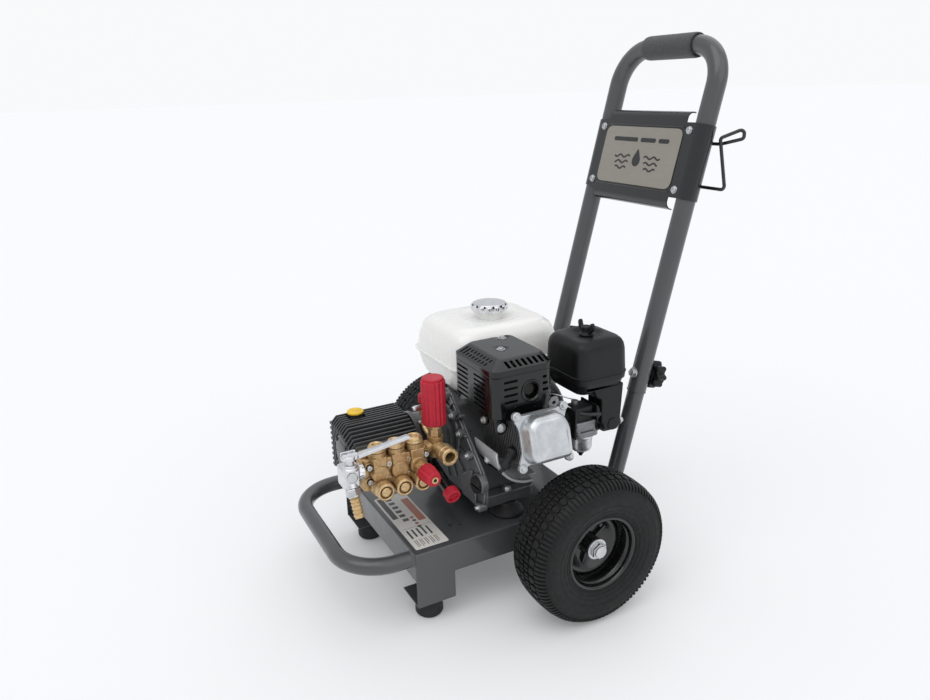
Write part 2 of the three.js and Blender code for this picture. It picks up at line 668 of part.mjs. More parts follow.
function makeAirCleanerBase() {
  const { x0, x1, y0, y1, bottom, seam } = AIR;
  return join(
    softBlock([x0, y0, seam - 12], [x1, y1, seam - GAP], 16, 2),
    softBlock([x0 + 8, y0 + 6, bottom], [x1 - 8, y1 - 6, seam - 8], 16, 5),
    softBlock([142, 362, 278], [180, 406, bottom + 10], 8, 3),
    rod([STUD.x, STUD.y, seam - 4], [STUD.x, STUD.y, AIR.top + 12], STUD.radius),
  );
}

function makeAirCleanerCover() {
  const { x0, x1, y0, y1, seam, top } = AIR;
  const stud = hole([STUD.x, STUD.y, seam - 5], [STUD.x, STUD.y, top + 20], STUD.radius + GAP);
  const recess = hole([STUD.x, STUD.y, top - 5], [STUD.x, STUD.y, top + 20], 17);
  return cut(softBlock([x0 - 1, y0 - 1, seam], [x1 + 1, y1 + 1, top], 18, 10), stud, recess);
}

function makeAirCleanerNut() {
  const base = AIR.top - 5 + GAP;
  const { x, y, radius } = STUD;
  const nut = join(
    rod([x, y, base], [x, y, base + 17], 9),
    block([x - 19, y - 3, base + 8], [x + 19, y + 3, base + 25]),
  );
  return cut(nut, hole([x, y, base - 1], [x, y, base + 30], radius + GAP));
}

function makeCarburetor() {
  return join(
    rod([168, HEAD.centreY + HEAD.halfWidth + GAP, 316], [168, 361.7, 316], 16),
    block([150, 300, 284], [192, 346, 338]),
    turned([[0, 252], [8, 252], [17, 256], [19, 262], [19, 286], [0, 286]], [176, 326, 0], [0, 0, 1]),
    rod([176, 326, 246], [176, 326, 255], 6, 6),
  );
}

/** Cooling shroud: a curved sheet below and in front of the cylinder fins. */
function makeShroud() {
  const shape = new THREE.Shape();
  const [radius, sheet] = [66, 2];
  shape.absarc(0, 0, radius, Math.PI * 1.02, Math.PI * 1.5, false);
  shape.absarc(0, 0, radius - sheet, Math.PI * 1.5, Math.PI * 1.02, true);
  const depth = 70;
  const sheetBody = new THREE.ExtrudeGeometry(shape, { depth, bevelEnabled: false, curveSegments: 8 });
  const matrix = new THREE.Matrix4().set(0, 0, 1, 110, 1, 0, 0, HEAD.centreY, 0, 1, 0, 292, 0, 0, 0, 1);
  return solid(sheetBody.applyMatrix4(matrix));
}

const THROTTLE = { x: 70, y: 303, z: 342 };

/** Fan housing: an open-backed drum cut flat below the tank, over the flywheel. */
function makeBlowerHousing() {
  const { radius, top, front, rear, wall } = HOUSING;
  const drum = rod([CRANK.x, front, CRANK.z], [CRANK.x, rear, CRANK.z], radius);
  const hollow = hole([CRANK.x, front + wall, CRANK.z], [CRANK.x, rear + 5, CRANK.z], radius - wall);
  const shaft = hole([CRANK.x, front - 5, CRANK.z], [CRANK.x, front + 10, CRANK.z], CRANK.radius + 1.5);
  const above = (z) => block([-150, front - 10, z], [150, rear + 10, 420]);
  const shell = cut(drum, cut(hollow, above(top - wall)), shaft, above(top));
  const { x, y, z } = THROTTLE;
  return join(shell, block([x - 10, y - 15, top - 2], [x + 10, y - 3 - GAP, z + 8]));
}

/** Where the starter rope leaves the drum, and which way it is pulled. */
function ropeOutlet() {
  const angle = THREE.MathUtils.degToRad(RECOIL.outletAngle);
  const direction = [Math.cos(angle), 0, Math.sin(angle)];
  return { at: along([CRANK.x, HOUSING.rear + 18, CRANK.z], direction, RECOIL.radius), direction };
}

function makeRecoilCover() {
  const { rear } = HOUSING;
  const start = rear + GAP;
  const profile = [[0, RECOIL.rear], [RECOIL.radius - 12, RECOIL.rear], [RECOIL.radius, RECOIL.rear - 12],
    [RECOIL.radius, start],
    [RECOIL.radius - 4, start], [RECOIL.radius - 4, RECOIL.rear - 14],
    [RECOIL.radius - 14, RECOIL.rear - 3], [0, RECOIL.rear - 3]];
  const bore = RECOIL.radius - 3.5;
  const rim = HOUSING.radius - 1;
  const flange = [[bore, start], [rim, start], [rim, start + 3], [bore, start + 3], [bore, start]];
  let cover = join(
    turned(profile, [CRANK.x, 0, CRANK.z], [0, 1, 0]),
    turned(flange, [CRANK.x, 0, CRANK.z], [0, 1, 0]),
  );
  cover = cut(cover, block([-150, start - 5, HOUSING.top], [150, RECOIL.rear + 5, 420]));
  for (let row = 0; row < 5; row += 1) {
    const z = CRANK.z - 36 + row * 16;
    const half = 52 - 5 * Math.abs(row - 2);
    cover = cut(cover, block([CRANK.x - half, RECOIL.rear - 10, z],
      [CRANK.x + half, RECOIL.rear + 5, z + 7]));
  }
  const { at, direction } = ropeOutlet();
  return cut(cover, hole(along(at, direction, -12), along(at, direction, 12), 4.5));
}

/** Pull grip of the starter, parked against its outlet, on a short stretch of rope. */
function makeRecoilGrip() {
  const { at, direction } = ropeOutlet();
  const middle = along(at, direction, 22);
  return join(
    rod(along(at, direction, -10), middle, 2.5),
    rod(along(at, direction, 4), middle, 7),
    rod(along(middle, [0, 1, 0], -12), along(middle, [0, 1, 0], 34), 8),
  );
}

/** Crankshaft from the pump coupling to the flywheel. */
function makeCrankshaft() {
  const { x, z, radius } = CRANK;
  return join(
    rod([x, PUMP.rear + 8, z], [x, FLYWHEEL.rear + 16, z], radius),
    rod([x, FLYWHEEL.front, z], [x, FLYWHEEL.rear, z], FLYWHEEL.radius),
    rod([x, FLYWHEEL.rear - 1, z], [x, FLYWHEEL.rear + 12, z], 18),
  );
}

function makeDipstick() {
  const { x, z } = DIPSTICK;
  const { front } = COVER;
  const head = cut(
    rod([x, front - 8, z], [x, front + 2 - GAP, z], 13),
    block([x - 14, front - 9, z - 1.5], [x + 14, front - 5, z + 1.5]),
  );
  return join(head, rod([x, front, z], [x, front + 8, z], 9));
}

/** Rubber boot over the spark plug, on the front of the head. */
function makeSparkPlugBoot() {
  const base = [193, HEAD.centreY - HEAD.halfWidth - GAP - 2, 298];
  return join(
    rod(base, along(base, [0, -0.5, -0.866], 34), 9),
    rod(along(base, [0, -0.5, -0.866], 26), along(base, [0, -0.5, -0.866], 40), 11),
  ).trimByPlane([0, -1, 0], -(HEAD.centreY - HEAD.halfWidth - GAP));
}

/** A small flat lever with a boss at its pivot. */
function makeLever([x, y, z], length, angle, thickness = 4) {
  const radians = THREE.MathUtils.degToRad(angle);
  const [dx, dz] = [Math.cos(radians), Math.sin(radians)];
  const [w, l] = [5, length];
  const arm = prism([
    [x - w * dz, z + w * dx], [x + w * dz, z - w * dx],
    [x + l * dx + w * dz, z + l * dz - w * dx], [x + l * dx - w * dz, z + l * dz + w * dx],
  ], 'y', y, y + thickness);
  return join(arm, rod([x, y - 3, z], [x, y + thickness + 3, z], 8));
}

piece('engine_block', makeEngineBlock(), CAST_GREY);
piece('crankcase_cover', makeCrankcaseCover(), CAST_GREY);
piece('cylinder_head', makeCylinderHead(), CAST_SILVER);
piece('valve_cover', makeValveCover(), CAST_SILVER);
piece('muffler_guard', makeMufflerGuard(), PLASTIC_BLACK);
piece('exhaust_muffler', makeMuffler(), CAST_GREY);
piece('fuel_tank', makeFuelTank(), TANK_WHITE);
piece('fuel_cap', makeFuelCap(), ZINC);
piece('air_cleaner_base', makeAirCleanerBase(), PLASTIC_BLACK);
piece('air_cleaner_cover', makeAirCleanerCover(), PLASTIC_BLACK);
piece('air_cleaner_nut', makeAirCleanerNut(), PLASTIC_BLACK);
piece('carburetor', makeCarburetor(), CAST_SILVER);
piece('cylinder_shroud', makeShroud(), CAST_SILVER);
piece('blower_housing', makeBlowerHousing(), PLASTIC_BLACK);
piece('recoil_cover', makeRecoilCover(), PLASTIC_BLACK);
piece('recoil_grip', makeRecoilGrip(), PLASTIC_BLACK);
piece('crankshaft', makeCrankshaft(), ZINC);
piece('oil_dipstick', makeDipstick(), PLASTIC_BLACK);
piece('spark_plug_boot', makeSparkPlugBoot(), RUBBER);
piece('throttle_lever', makeLever([THROTTLE.x, THROTTLE.y, THROTTLE.z], 34, 68), ZINC);
piece('choke_lever', makeLever([186, 349.3, 296], 26, 20), PLASTIC_BLACK);

// ---- pump -----------------------------------------------------------------------------------

function makePumpCrankcase() {
  const { x0, x1, front, rear, bottom, top } = PUMP;
  const outline = [[x0 + 8, bottom], [x1, bottom], [x1, 302], [18, top - 2], [x0 + 6, top - 4],
    [x0, top - 14], [x0, bottom + 10]];
  const pieces = [
    prism(outline, 'y', front, rear),
    rod([CRANK.x, front - 7, CRANK.z], [CRANK.x, front + 2, CRANK.z], 35),
    rod([OIL_FILLER.x, OIL_FILLER.y, top - 10], [OIL_FILLER.x, OIL_FILLER.y, top + 3], 13),
  ];
  const topSlope = (x) => (x < 18 ? top - 2 : top - 2 - ((x - 18) * (top - 304)) / (x1 - 18));
  for (let x = x0 + 10; x < x1; x += 9) {
    pieces.push(block([x, front - 4, topSlope(x) - 8], [x + 3.5, rear - 3, topSlope(x + 3.5) + 4]));
  }
  for (let z = bottom + 8; z < top - 12; z += 10) {
    pieces.push(block([x0 - 4, front - 3, z], [x0 + 11, rear - 4, z + 4]));
  }
  const filler = hole([OIL_FILLER.x, OIL_FILLER.y, top - 14], [OIL_FILLER.x, OIL_FILLER.y, top + 20], 8);
  const shaft = hole([CRANK.x, rear - 30, CRANK.z], [CRANK.x, rear + 5, CRANK.z], 14);
  return cut(join(...pieces), filler, shaft);
}

/** Bell housing between the pump and the engine cover, hollow round the shaft coupling. */
function makePumpFlange() {
  const [y0, y1] = [PUMP.rear + GAP, COVER.front - GAP];
  const ring = [[16, y0], [49, y0], [44, y0 + 10], [44, y1 - 12], [50, y1 - 8], [50, y1], [30, y1],
    [30, y0 + 10], [16, y0 + 10], [16, y0]];
  return turned(ring, [CRANK.x, 0, CRANK.z], [0, 1, 0]);
}

/** Brass valve manifold: three heads in a row with valve columns above and below. */
function makeManifold() {
  const { x0, x1, y0, y1, z0, z1 } = MANIFOLD;
  const pieces = [
    softBlock([x0, y0, z0], [x1, y1, z1], 6, 3),
    rod([x0 - 5, y0 + 8, 270], [x0 + 6, y0 + 8, 270], 6),
  ];
  for (const y of COLUMN_Y) {
    pieces.push(rod([99, y, 250], [99, y, 308], 15.5));
    pieces.push(rod([x1 - 2, y, 271], [x1 + 8, y, 271], 14));
    pieces.push(rod([x1 - 4, y, 247], [122, y, 247], 15));
  }
  for (const y of [-44, -10, 24, 57]) {
    for (const z of [258, 284]) pieces.push(rod([x1 - 1, y, z], [x1 + 9, y, z], 4.5, 6));
  }
  pieces.push(rod([x1, 42, 268], [150, 42, 268], 5));
  return join(...pieces).trimByPlane([1, 0, 0], PUMP.x1 + GAP);
}

function makeDischargePlug(y) {
  const profile = [[0, 0], [14, 0], [14, 7], [12, 11], [8, 11], [6, 7], [0, 7]];
  return turned(profile, [99, y, 308 + GAP], [0, 0, 1]);
}

function makeSuctionPlug(y) {
  const profile = [[0, 0], [15.5, 0], [15.5, 9], [13.5, 13], [9, 13], [7, 8], [0, 8]];
  return turned(profile, [122 + GAP, y, 247], [1, 0, 0]);
}

/** Pressure unloader with the quick-connect outlet that points to the left side. */
function makeUnloaderBody() {
  const { x, y, knobBottom, outletZ } = UNLOADER;
  const tip = 141;
  const body = join(
    rod([x, y, 264], [x, y, 302], 14),
    rod([x, y, 300], [x, y, knobBottom - 6], 11, 6),
    rod([x, y, 300], [x, y, knobBottom + 30], 6),
    rod([x, MANIFOLD.y1 + GAP, outletZ], [x, y, outletZ], 12),
    rod([x, y, outletZ], [118, y, outletZ], 12),
    rod([112, y, outletZ], [tip, y, outletZ], 15.5),
  );
  return cut(body, hole([116, y, outletZ], [tip + 5, y, outletZ], 9));
}

function makeUnloaderKnob() {
  const { x, y, knobRadius, knobBottom, knobTop } = UNLOADER;
  const body = join(
    knob([x, y, knobBottom], [0, 0, 1], knobTop - knobBottom - 3, knobRadius, 2, 16, 3),
    rod([x, y, knobBottom + 4], [x, y, knobTop], knobRadius - 3),
  );
  return cut(body, hole([x, y, knobBottom - 5], [x, y, knobBottom + 34], 6 + 2 * GAP));
}

function makeInjectorKnob() {
  const body = knob([137, 42, 268], [1, 0, 0], 36, 15.5, 2, 12, 3);
  return cut(body, hole([130, 42, 268], [153, 42, 268], 5 + 2 * GAP));
}

const DRAIN = { from: [68, 84, 243.6], direction: [0.951, 0, -0.309], length: 84, radius: 10.5 };

function makeDrainTube() {
  const { from, direction, length, radius } = DRAIN;
  return rod(from, along(from, direction, length), radius);
}

function makeDrainCap() {
  const { from, direction, length, radius } = DRAIN;
  const bore = radius + 1;
  const skirt = bore + 2;
  const profile = [[0, 3], [bore, 3], [bore, -9], [skirt, -9], [skirt, 4], [bore, 6], [0, 6]];
  return turned(profile, along(from, direction, length), direction);
}

function makePumpOilCap() {
  const base = PUMP.top + 3 + GAP;
  return join(
    knob([OIL_FILLER.x, OIL_FILLER.y, base], [0, 0, 1], 6, 14, 1.2, 12, 3),
    rod([OIL_FILLER.x, OIL_FILLER.y, base - 12], [OIL_FILLER.x, OIL_FILLER.y, base + 1], 7),
  );
}

const VALVE = { x: 110, y: -80, z: 283, pivotX: 120.5, pivotZ: 314 };
const NIPPLE_DIRECTION = [0.535, 0, -0.845];
const NIPPLE_SEAT = along([VALVE.x, VALVE.y, VALVE.z], NIPPLE_DIRECTION, 24);

function makeInletValveBlock() {
  const { x, y, z, pivotX, pivotZ } = VALVE;
  return join(
    softBlock([x - 16, y - 15, z - 17], [x + 16, y + 15, z + 17], 3, 2),
    rod([x, y, z], [x, MANIFOLD.y0 - GAP, z], 12),
    rod([pivotX, y, z + 10], [pivotX, y, pivotZ - 8], 11),
    rod([pivotX, y, z + 10], [pivotX, y, pivotZ], 6),
    rod([x, y, z], NIPPLE_SEAT, 10),
  );
}

function makeInletLever() {
  const { y, pivotX, pivotZ } = VALVE;
  const [inner, tip, rise] = [y - 10, y + 104, 14];
  const arm = prism([
    [inner, pivotZ + GAP], [y + 10, pivotZ + GAP], [tip, pivotZ + GAP + rise],
    [tip, pivotZ + GAP + rise + 4], [y + 10, pivotZ + 8], [inner, pivotZ + 8],
  ], 'x', pivotX - 5, pivotX + 5);
  return join(arm, rod([pivotX, y, pivotZ + GAP], [pivotX, y, pivotZ + 11], 8));
}

function makeHoseNipple() {
  const profile = [[0, 0], [12, 0], [12, 10], [7.5, 12]];
  for (let rib = 0; rib < 5; rib += 1) {
    const height = 15 + rib * 6;
    profile.push([7.5, height], [9, height + 1], [7.5, height + 5]);
  }
  profile.push([7, 47], [0, 47]);
  return turned(profile, along(NIPPLE_SEAT, NIPPLE_DIRECTION, GAP), NIPPLE_DIRECTION);
}

piece('pump_crankcase', makePumpCrankcase(), PANEL_BLACK);
piece('pump_flange', makePumpFlange(), CAST_GREY);
piece('pump_manifold', makeManifold(), BRASS);
COLUMN_Y.forEach((y, i) => {
  piece(`discharge_plug_${i + 1}`, makeDischargePlug(y), BRASS);
  piece(`suction_plug_${i + 1}`, makeSuctionPlug(y), BRASS);
});
piece('unloader_body', makeUnloaderBody(), BRASS);
piece('unloader_knob', makeUnloaderKnob(), RED);
piece('injector_knob', makeInjectorKnob(), RED);
piece('drain_tube', makeDrainTube(), PLASTIC_BLACK);
piece('drain_cap', makeDrainCap(), RED);
piece('pump_oil_cap', makePumpOilCap(), YELLOW);
piece('inlet_valve_block', makeInletValveBlock(), ZINC);
piece('inlet_lever', makeInletLever(), ZINC);
piece('hose_nipple', makeHoseNipple(), BRASS);

// ---- origin ---------------------------------------------------------------------------------

const outline = new THREE.Box3().setFromObject(layout);
layout.position.y = -(outline.min.y + outline.max.y) / 2;

export default machine;
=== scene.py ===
"""Looks of an engine-driven pressure washer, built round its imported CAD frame.

Every form is drawn in millimetres from the middle of the deck's front edge (x to the left side,
y to the rear, z up from the ground) and is moved into the row frame, in metres, when it is placed.
"""

import json
import math

import bmesh
import bpy
from mathutils import Matrix, Vector


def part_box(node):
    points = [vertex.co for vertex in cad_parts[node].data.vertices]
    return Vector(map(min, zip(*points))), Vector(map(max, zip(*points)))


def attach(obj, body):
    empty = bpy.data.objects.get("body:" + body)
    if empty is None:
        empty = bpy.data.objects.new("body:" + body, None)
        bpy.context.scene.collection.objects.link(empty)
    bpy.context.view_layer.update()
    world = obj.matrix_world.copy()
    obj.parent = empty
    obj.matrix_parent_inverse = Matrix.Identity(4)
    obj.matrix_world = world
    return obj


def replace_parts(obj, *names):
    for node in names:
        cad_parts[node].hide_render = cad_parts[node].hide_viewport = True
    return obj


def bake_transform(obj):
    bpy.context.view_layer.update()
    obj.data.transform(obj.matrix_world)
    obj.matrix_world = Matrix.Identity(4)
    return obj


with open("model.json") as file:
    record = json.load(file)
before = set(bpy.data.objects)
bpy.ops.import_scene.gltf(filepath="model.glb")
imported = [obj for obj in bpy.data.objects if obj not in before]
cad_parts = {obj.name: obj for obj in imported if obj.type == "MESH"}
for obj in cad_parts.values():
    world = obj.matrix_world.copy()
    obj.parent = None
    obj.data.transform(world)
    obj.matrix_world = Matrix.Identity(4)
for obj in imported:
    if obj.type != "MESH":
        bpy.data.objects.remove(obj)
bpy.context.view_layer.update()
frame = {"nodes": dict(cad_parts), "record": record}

MM = 0.001
ORIGIN = Vector((0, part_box("deck_plate")[0].y, 0))
BODIES = frame["record"]["behaviour"]["bodies"]
BODY_OF = {node: body for body, nodes in BODIES.items() for node in nodes}
X, Y, Z = Vector((1, 0, 0)), Vector((0, 1, 0)), Vector((0, 0, 1))
SIDES = (("left", 1), ("right", -1))


# ---- camera, floor and light ----------------------------------------------------------------

CAMERA = {"place": (1.18877, -0.69705, 0.86803), "azimuth": 62.655, "elevation": 18.817, "roll": -1.666}
LENS_MM = 30.1
FLOOR_TONE = (0.765, 0.77, 0.774)
FLOOR_GLOW = 0.11
BACKDROP_TONE = (0.945, 0.953, 0.96)
WORLD_LIGHT = 0.74


def add_camera():
    """The photograph's camera, by its place and its three angles."""
    azimuth, elevation, roll = (math.radians(CAMERA[k]) for k in ("azimuth", "elevation", "roll"))
    back = Vector((math.sin(azimuth) * math.cos(elevation), -math.cos(azimuth) * math.cos(elevation),
                   math.sin(elevation)))
    level = Vector((math.cos(azimuth), math.sin(azimuth), 0))
    upright = back.cross(level)
    right = math.cos(roll) * level + math.sin(roll) * upright
    up = math.cos(roll) * upright - math.sin(roll) * level
    camera = bpy.data.objects.new("camera", bpy.data.cameras.new("camera"))
    camera.data.sensor_width = 36
    camera.data.lens = LENS_MM
    camera.data.clip_end = 200
    turn = Matrix((right, up, back)).transposed().to_4x4()
    camera.matrix_world = Matrix.Translation(CAMERA["place"]) @ turn
    bpy.context.scene.collection.objects.link(camera)
    bpy.context.scene.camera = camera


def add_sun(name, azimuth, elevation, angle, power):
    """A distant soft light, azimuth degrees from the front towards the left side."""
    lamp = bpy.data.lights.new(name, "SUN")
    lamp.energy = power
    lamp.angle = math.radians(angle)
    obj = bpy.data.objects.new(name, lamp)
    turn, lift = math.radians(azimuth), math.radians(elevation)
    source = Vector((math.sin(turn) * math.cos(lift), -math.cos(turn) * math.cos(lift), math.sin(lift)))
    obj.rotation_euler = (-source).to_track_quat("-Z", "Y").to_euler()
    bpy.context.scene.collection.objects.link(obj)


def add_world():
    """Plain white surroundings: dimmer as a light than as the backdrop that the camera sees."""
    world = bpy.data.worlds.new("studio")
    bpy.context.scene.world = world
    world.use_nodes = True
    tree = world.node_tree
    light = tree.nodes["Background"]
    light.inputs["Color"].default_value = (0.93, 0.95, 0.98, 1)
    light.inputs["Strength"].default_value = WORLD_LIGHT
    seen = tree.nodes.new("ShaderNodeBackground")
    seen.inputs["Color"].default_value = (*BACKDROP_TONE, 1)
    choice = tree.nodes.new("ShaderNodeMixShader")
    tree.links.new(tree.nodes.new("ShaderNodeLightPath").outputs["Is Camera Ray"], choice.inputs[0])
    tree.links.new(light.outputs[0], choice.inputs[1])
    tree.links.new(seen.outputs[0], choice.inputs[2])
    tree.links.new(choice.outputs[0], tree.nodes["World Output"].inputs["Surface"])


def add_studio():
    """Soft lamps over a pale floor."""
    add_world()
    add_sun("key_light", 20, 62, 50, 0.78)
    add_sun("side_light", 100, 40, 60, 0.5)
    add_sun("back_light", 215, 55, 60, 0.35)
    bpy.context.scene.view_settings.view_transform = "Standard"
    mesh = bpy.data.meshes.new("floor")
    reach = 60
    mesh.from_pydata([(-reach, -reach, 0), (reach, -reach, 0), (reach, reach, 0), (-reach, reach, 0)],
                     [], [(0, 1, 2, 3)])
    floor = bpy.data.objects.new("floor", mesh)
    bpy.context.scene.collection.objects.link(floor)
    paper = Surface("floor_paper", FLOOR_TONE, 0.9, Specular_IOR_Level=0.2, Emission_Color=(1, 1, 1, 1),
                    Emission_Strength=FLOOR_GLOW)
    paper.bump(paper.noise(40), 0.1, 0.0005)
    mesh.materials.append(paper.material)


# ---- materials ------------------------------------------------------------------------------

class Surface:
    """One node material: a Principled shader with named helpers for what varies over it."""

    def __init__(self, name, colour, roughness, metallic=0.0, **sockets):
        self.material = bpy.data.materials.new(name)
        self.material.use_nodes = True
        self.material.diffuse_color = (*colour, 1)
        self.tree = self.material.node_tree
        self.shader = self.tree.nodes["Principled BSDF"]
        self.colour = colour
        self.roughness = roughness
        self.shader.inputs["Base Color"].default_value = (*colour, 1)
        self.shader.inputs["Roughness"].default_value = roughness
        self.shader.inputs["Metallic"].default_value = metallic
        for socket, value in sockets.items():
            self.shader.inputs[socket.replace("_", " ")].default_value = value
        self.place = self.node("ShaderNodeTexCoord").outputs["Object"]
        self.last_bump = None

    def node(self, kind, **settings):
        node = self.tree.nodes.new(kind)
        for key, value in settings.items():
            setattr(node, key, value)
        return node

    def link(self, source, node, socket):
        self.tree.links.new(source, node.inputs[socket])

    def noise(self, scale, detail=3.0, stretch=(1, 1, 1)):
        """Cloudy noise, with about scale features in a metre."""
        mapping = self.node("ShaderNodeMapping")
        mapping.inputs["Scale"].default_value = stretch
        self.link(self.place, mapping, "Vector")
        noise = self.node("ShaderNodeTexNoise")
        noise.inputs["Scale"].default_value = scale
        noise.inputs["Detail"].default_value = detail
        self.link(mapping.outputs["Vector"], noise, "Vector")
        return noise.outputs["Fac"]

    def cells(self, scale):
        """Round grains, with about scale of them in a metre."""
        cells = self.node("ShaderNodeTexVoronoi")
        cells.inputs["Scale"].default_value = scale
        self.link(self.place, cells, "Vector")
        return cells.outputs["Distance"]

    def curve(self, source, low, high, from_low=0.3, from_high=0.7):
        """Spreads a factor between two values."""
        spread = self.node("ShaderNodeMapRange")
        spread.inputs["From Min"].default_value = from_low
        spread.inputs["From Max"].default_value = from_high
        spread.inputs["To Min"].default_value = low
        spread.inputs["To Max"].default_value = high
        self.link(source, spread, "Value")
        return spread.outputs["Result"]

    def mix(self, factor, first, second):
        """A colour between two colours or colour outputs."""
        mix = self.node("ShaderNodeMix", data_type="RGBA")
        self.link(factor, mix, 0)
        for index, value in ((6, first), (7, second)):
            if isinstance(value, tuple):
                mix.inputs[index].default_value = (*value, 1)
            else:
                self.tree.links.new(value, mix.inputs[index])
        return mix.outputs[2]

    def paint(self, colour):
        self.link(colour, self.shader, "Base Color")
        return self

    def shades(self, source, low=0.85, high=1.15):
        """Varies the base colour between a darker and a lighter shade of itself."""
        dark, light = (tuple(min(c * k, 1) for c in self.colour) for k in (low, high))
        return self.mix(self.curve(source, 0, 1), dark, light)

    def rough(self, source, spread=0.08):
        low, high = max(self.roughness - spread, 0.02), min(self.roughness + spread, 1)
        self.link(self.curve(source, low, high), self.shader, "Roughness")
        return self

    def bump(self, height, strength, depth):
        """Adds a relief of that depth in metres on top of any relief before it."""
        bump = self.node("ShaderNodeBump")
        bump.inputs["Strength"].default_value = strength
        bump.inputs["Distance"].default_value = depth
        self.link(height, bump, "Height")
        if self.last_bump:
            self.link(self.last_bump, bump, "Normal")
        self.last_bump = bump.outputs["Normal"]
        self.link(self.last_bump, self.shader, "Normal")
        return self

    def shade_mask(self, depth, low=0.35, high=0.85):
        """1 in corners and crevices nearer than depth, 0 in the open: the mask for painted shade."""
        shade = self.node("ShaderNodeAmbientOcclusion", samples=6)
        shade.inputs["Distance"].default_value = depth
        return self.curve(shade.outputs["AO"], 1, 0, low, high)


def powder_coat(name, colour, roughness):
    s = Surface(name, colour, roughness, Coat_Weight=0.4, Coat_Roughness=0.1)
    s.paint(s.shades(s.noise(9, 4), 0.93, 1.07))
    s.rough(s.noise(60), 0.05)
    return s.bump(s.noise(420, 2), 0.35, 0.00012).bump(s.noise(1900, 1), 0.12, 0.00004).material


def moulded_plastic(name, colour, roughness, grain=1500, shine=0.3):
    s = Surface(name, colour, roughness, Specular_IOR_Level=shine)
    dusty = tuple(c * 1.5 + 0.003 for c in colour)
    s.paint(s.mix(s.curve(s.noise(14, 5), 0, 0.5), s.shades(s.noise(120)), dusty))
    s.rough(s.noise(35, 4), 0.08)
    return s.bump(s.cells(grain), 0.3, 0.00008).bump(s.noise(70), 0.12, 0.0003).material


def rubber(name, colour, roughness=0.62):
    s = Surface(name, colour, roughness, Specular_IOR_Level=0.35)
    s.paint(s.mix(s.curve(s.noise(22, 6), 0, 0.7), colour, tuple(c * 2.1 for c in colour)))
    s.rough(s.noise(90, 4), 0.12)
    return s.bump(s.noise(900, 4), 0.3, 0.0001).material


def foam(name, colour):
    s = Surface(name, colour, 0.95, Specular_IOR_Level=0.2, Sheen_Weight=0.25, Sheen_Roughness=0.6)
    s.paint(s.shades(s.noise(260, 5), 0.7, 1.3))
    return s.bump(s.cells(1300), 0.7, 0.0004).bump(s.noise(180, 4), 0.4, 0.0006).material


def cast_metal(name, colour, roughness, metallic, relief=0.0003, crevice_shade_colour=(0.02, 0.02, 0.02)):
    s = Surface(name, colour, roughness, metallic)
    body = s.shades(s.noise(45, 6), 0.85, 1.12)
    # painted shade: an occlusion mask darkens corners and crevices towards the dark crevice colour
    s.paint(s.mix(s.curve(s.shade_mask(0.007), 0, 0.85, 0, 1), body, crevice_shade_colour))
    s.rough(s.noise(160, 5), 0.09)
    return s.bump(s.noise(900, 5), 0.45, relief).bump(s.noise(90, 3), 0.15, 0.0006).material


def plated_steel(name, colour, roughness):
    s = Surface(name, colour, roughness, 0.95)
    s.paint(s.shades(s.noise(70, 6), 0.9, 1.05))
    s.rough(s.noise(320, 4), 0.07)
    return s.bump(s.noise(1500, 3), 0.2, 0.00006).material


def painted_metal(name, colour, roughness, metallic):
    """Silver paint: part metal, part pigment, over a slightly uneven pressing."""
    s = Surface(name, colour, roughness, metallic)
    s.paint(s.shades(s.noise(60, 5), 0.88, 1.06))
    s.rough(s.noise(140, 4), 0.08)
    return s.bump(s.noise(900, 4), 0.25, 0.0001).bump(s.noise(50, 3), 0.15, 0.0006).material


def brass_casting(name, colour, roughness, relief):
    s = Surface(name, colour, roughness, 0.7)
    bright = tuple(min(c * 1.18, 1) for c in colour)
    tumbled = s.mix(s.curve(s.noise(240, 5), 0, 1), tuple(c * 0.72 for c in colour), bright)
    # painted shade: an occlusion mask darkens crevices towards dark brown
    s.paint(s.mix(s.curve(s.shade_mask(0.006, 0.3, 0.8), 0, 0.9, 0, 1), tumbled, (0.13, 0.05, 0.018)))
    s.rough(s.noise(400, 4), 0.1)
    return s.bump(s.noise(1100, 4), 0.5, relief).bump(s.noise(200, 3), 0.25, 0.0005).material


def brushed_plate(name, colour):
    s = Surface(name, colour, 0.36, 0.75, Anisotropic=0.5)
    s.paint(s.shades(s.noise(40, 4, (1, 40, 40)), 0.9, 1.06))
    s.rough(s.noise(60, 3, (1, 30, 30)), 0.08)
    return s.bump(s.noise(90, 3, (1, 30, 30)), 0.15, 0.00004).material


def tank_paint(name, colour):
    s = Surface(name, colour, 0.28, Coat_Weight=0.6, Coat_Roughness=0.06, Subsurface_Weight=0.04)
    s.paint(s.shades(s.noise(5, 3), 0.97, 1.0))
    s.rough(s.noise(25, 3), 0.05)
    return s.bump(s.noise(260, 2), 0.12, 0.00008).material


def tyre_rubber(name, colour):
    """Dark on the sidewall, with grey dust on the tread and painted shade darkening its grooves."""
    s = Surface(name, colour, 0.55, Specular_IOR_Level=0.26)
    dust = tuple(c * 3 + 0.012 for c in colour)
    worn = s.mix(s.curve(s.noise(240, 6), 0, 0.3, 0.42, 0.75), colour, dust)
    # painted shade: an occlusion mask darkens grooves and corners towards near black
    s.paint(s.mix(s.curve(s.shade_mask(0.004), 0, 0.7, 0, 1), worn, (0.006, 0.006, 0.006)))
    s.rough(s.noise(120, 4), 0.1)
    return s.bump(s.noise(700, 5), 0.35, 0.0002).material


def label_film(name, colour):
    s = Surface(name, colour, 0.4, Coat_Weight=0.3)
    s.paint(s.shades(s.noise(30, 4), 0.94, 1.0))
    return s.rough(s.noise(80), 0.06).material


# A near-black fill set into holes, bores and grooves: painted shade.
def make_shade_fill(name):
    s = Surface(name, (0.004, 0.004, 0.004), 0.9)
    s.paint(s.shades(s.noise(60), 0.6, 1.4))
    return s.material


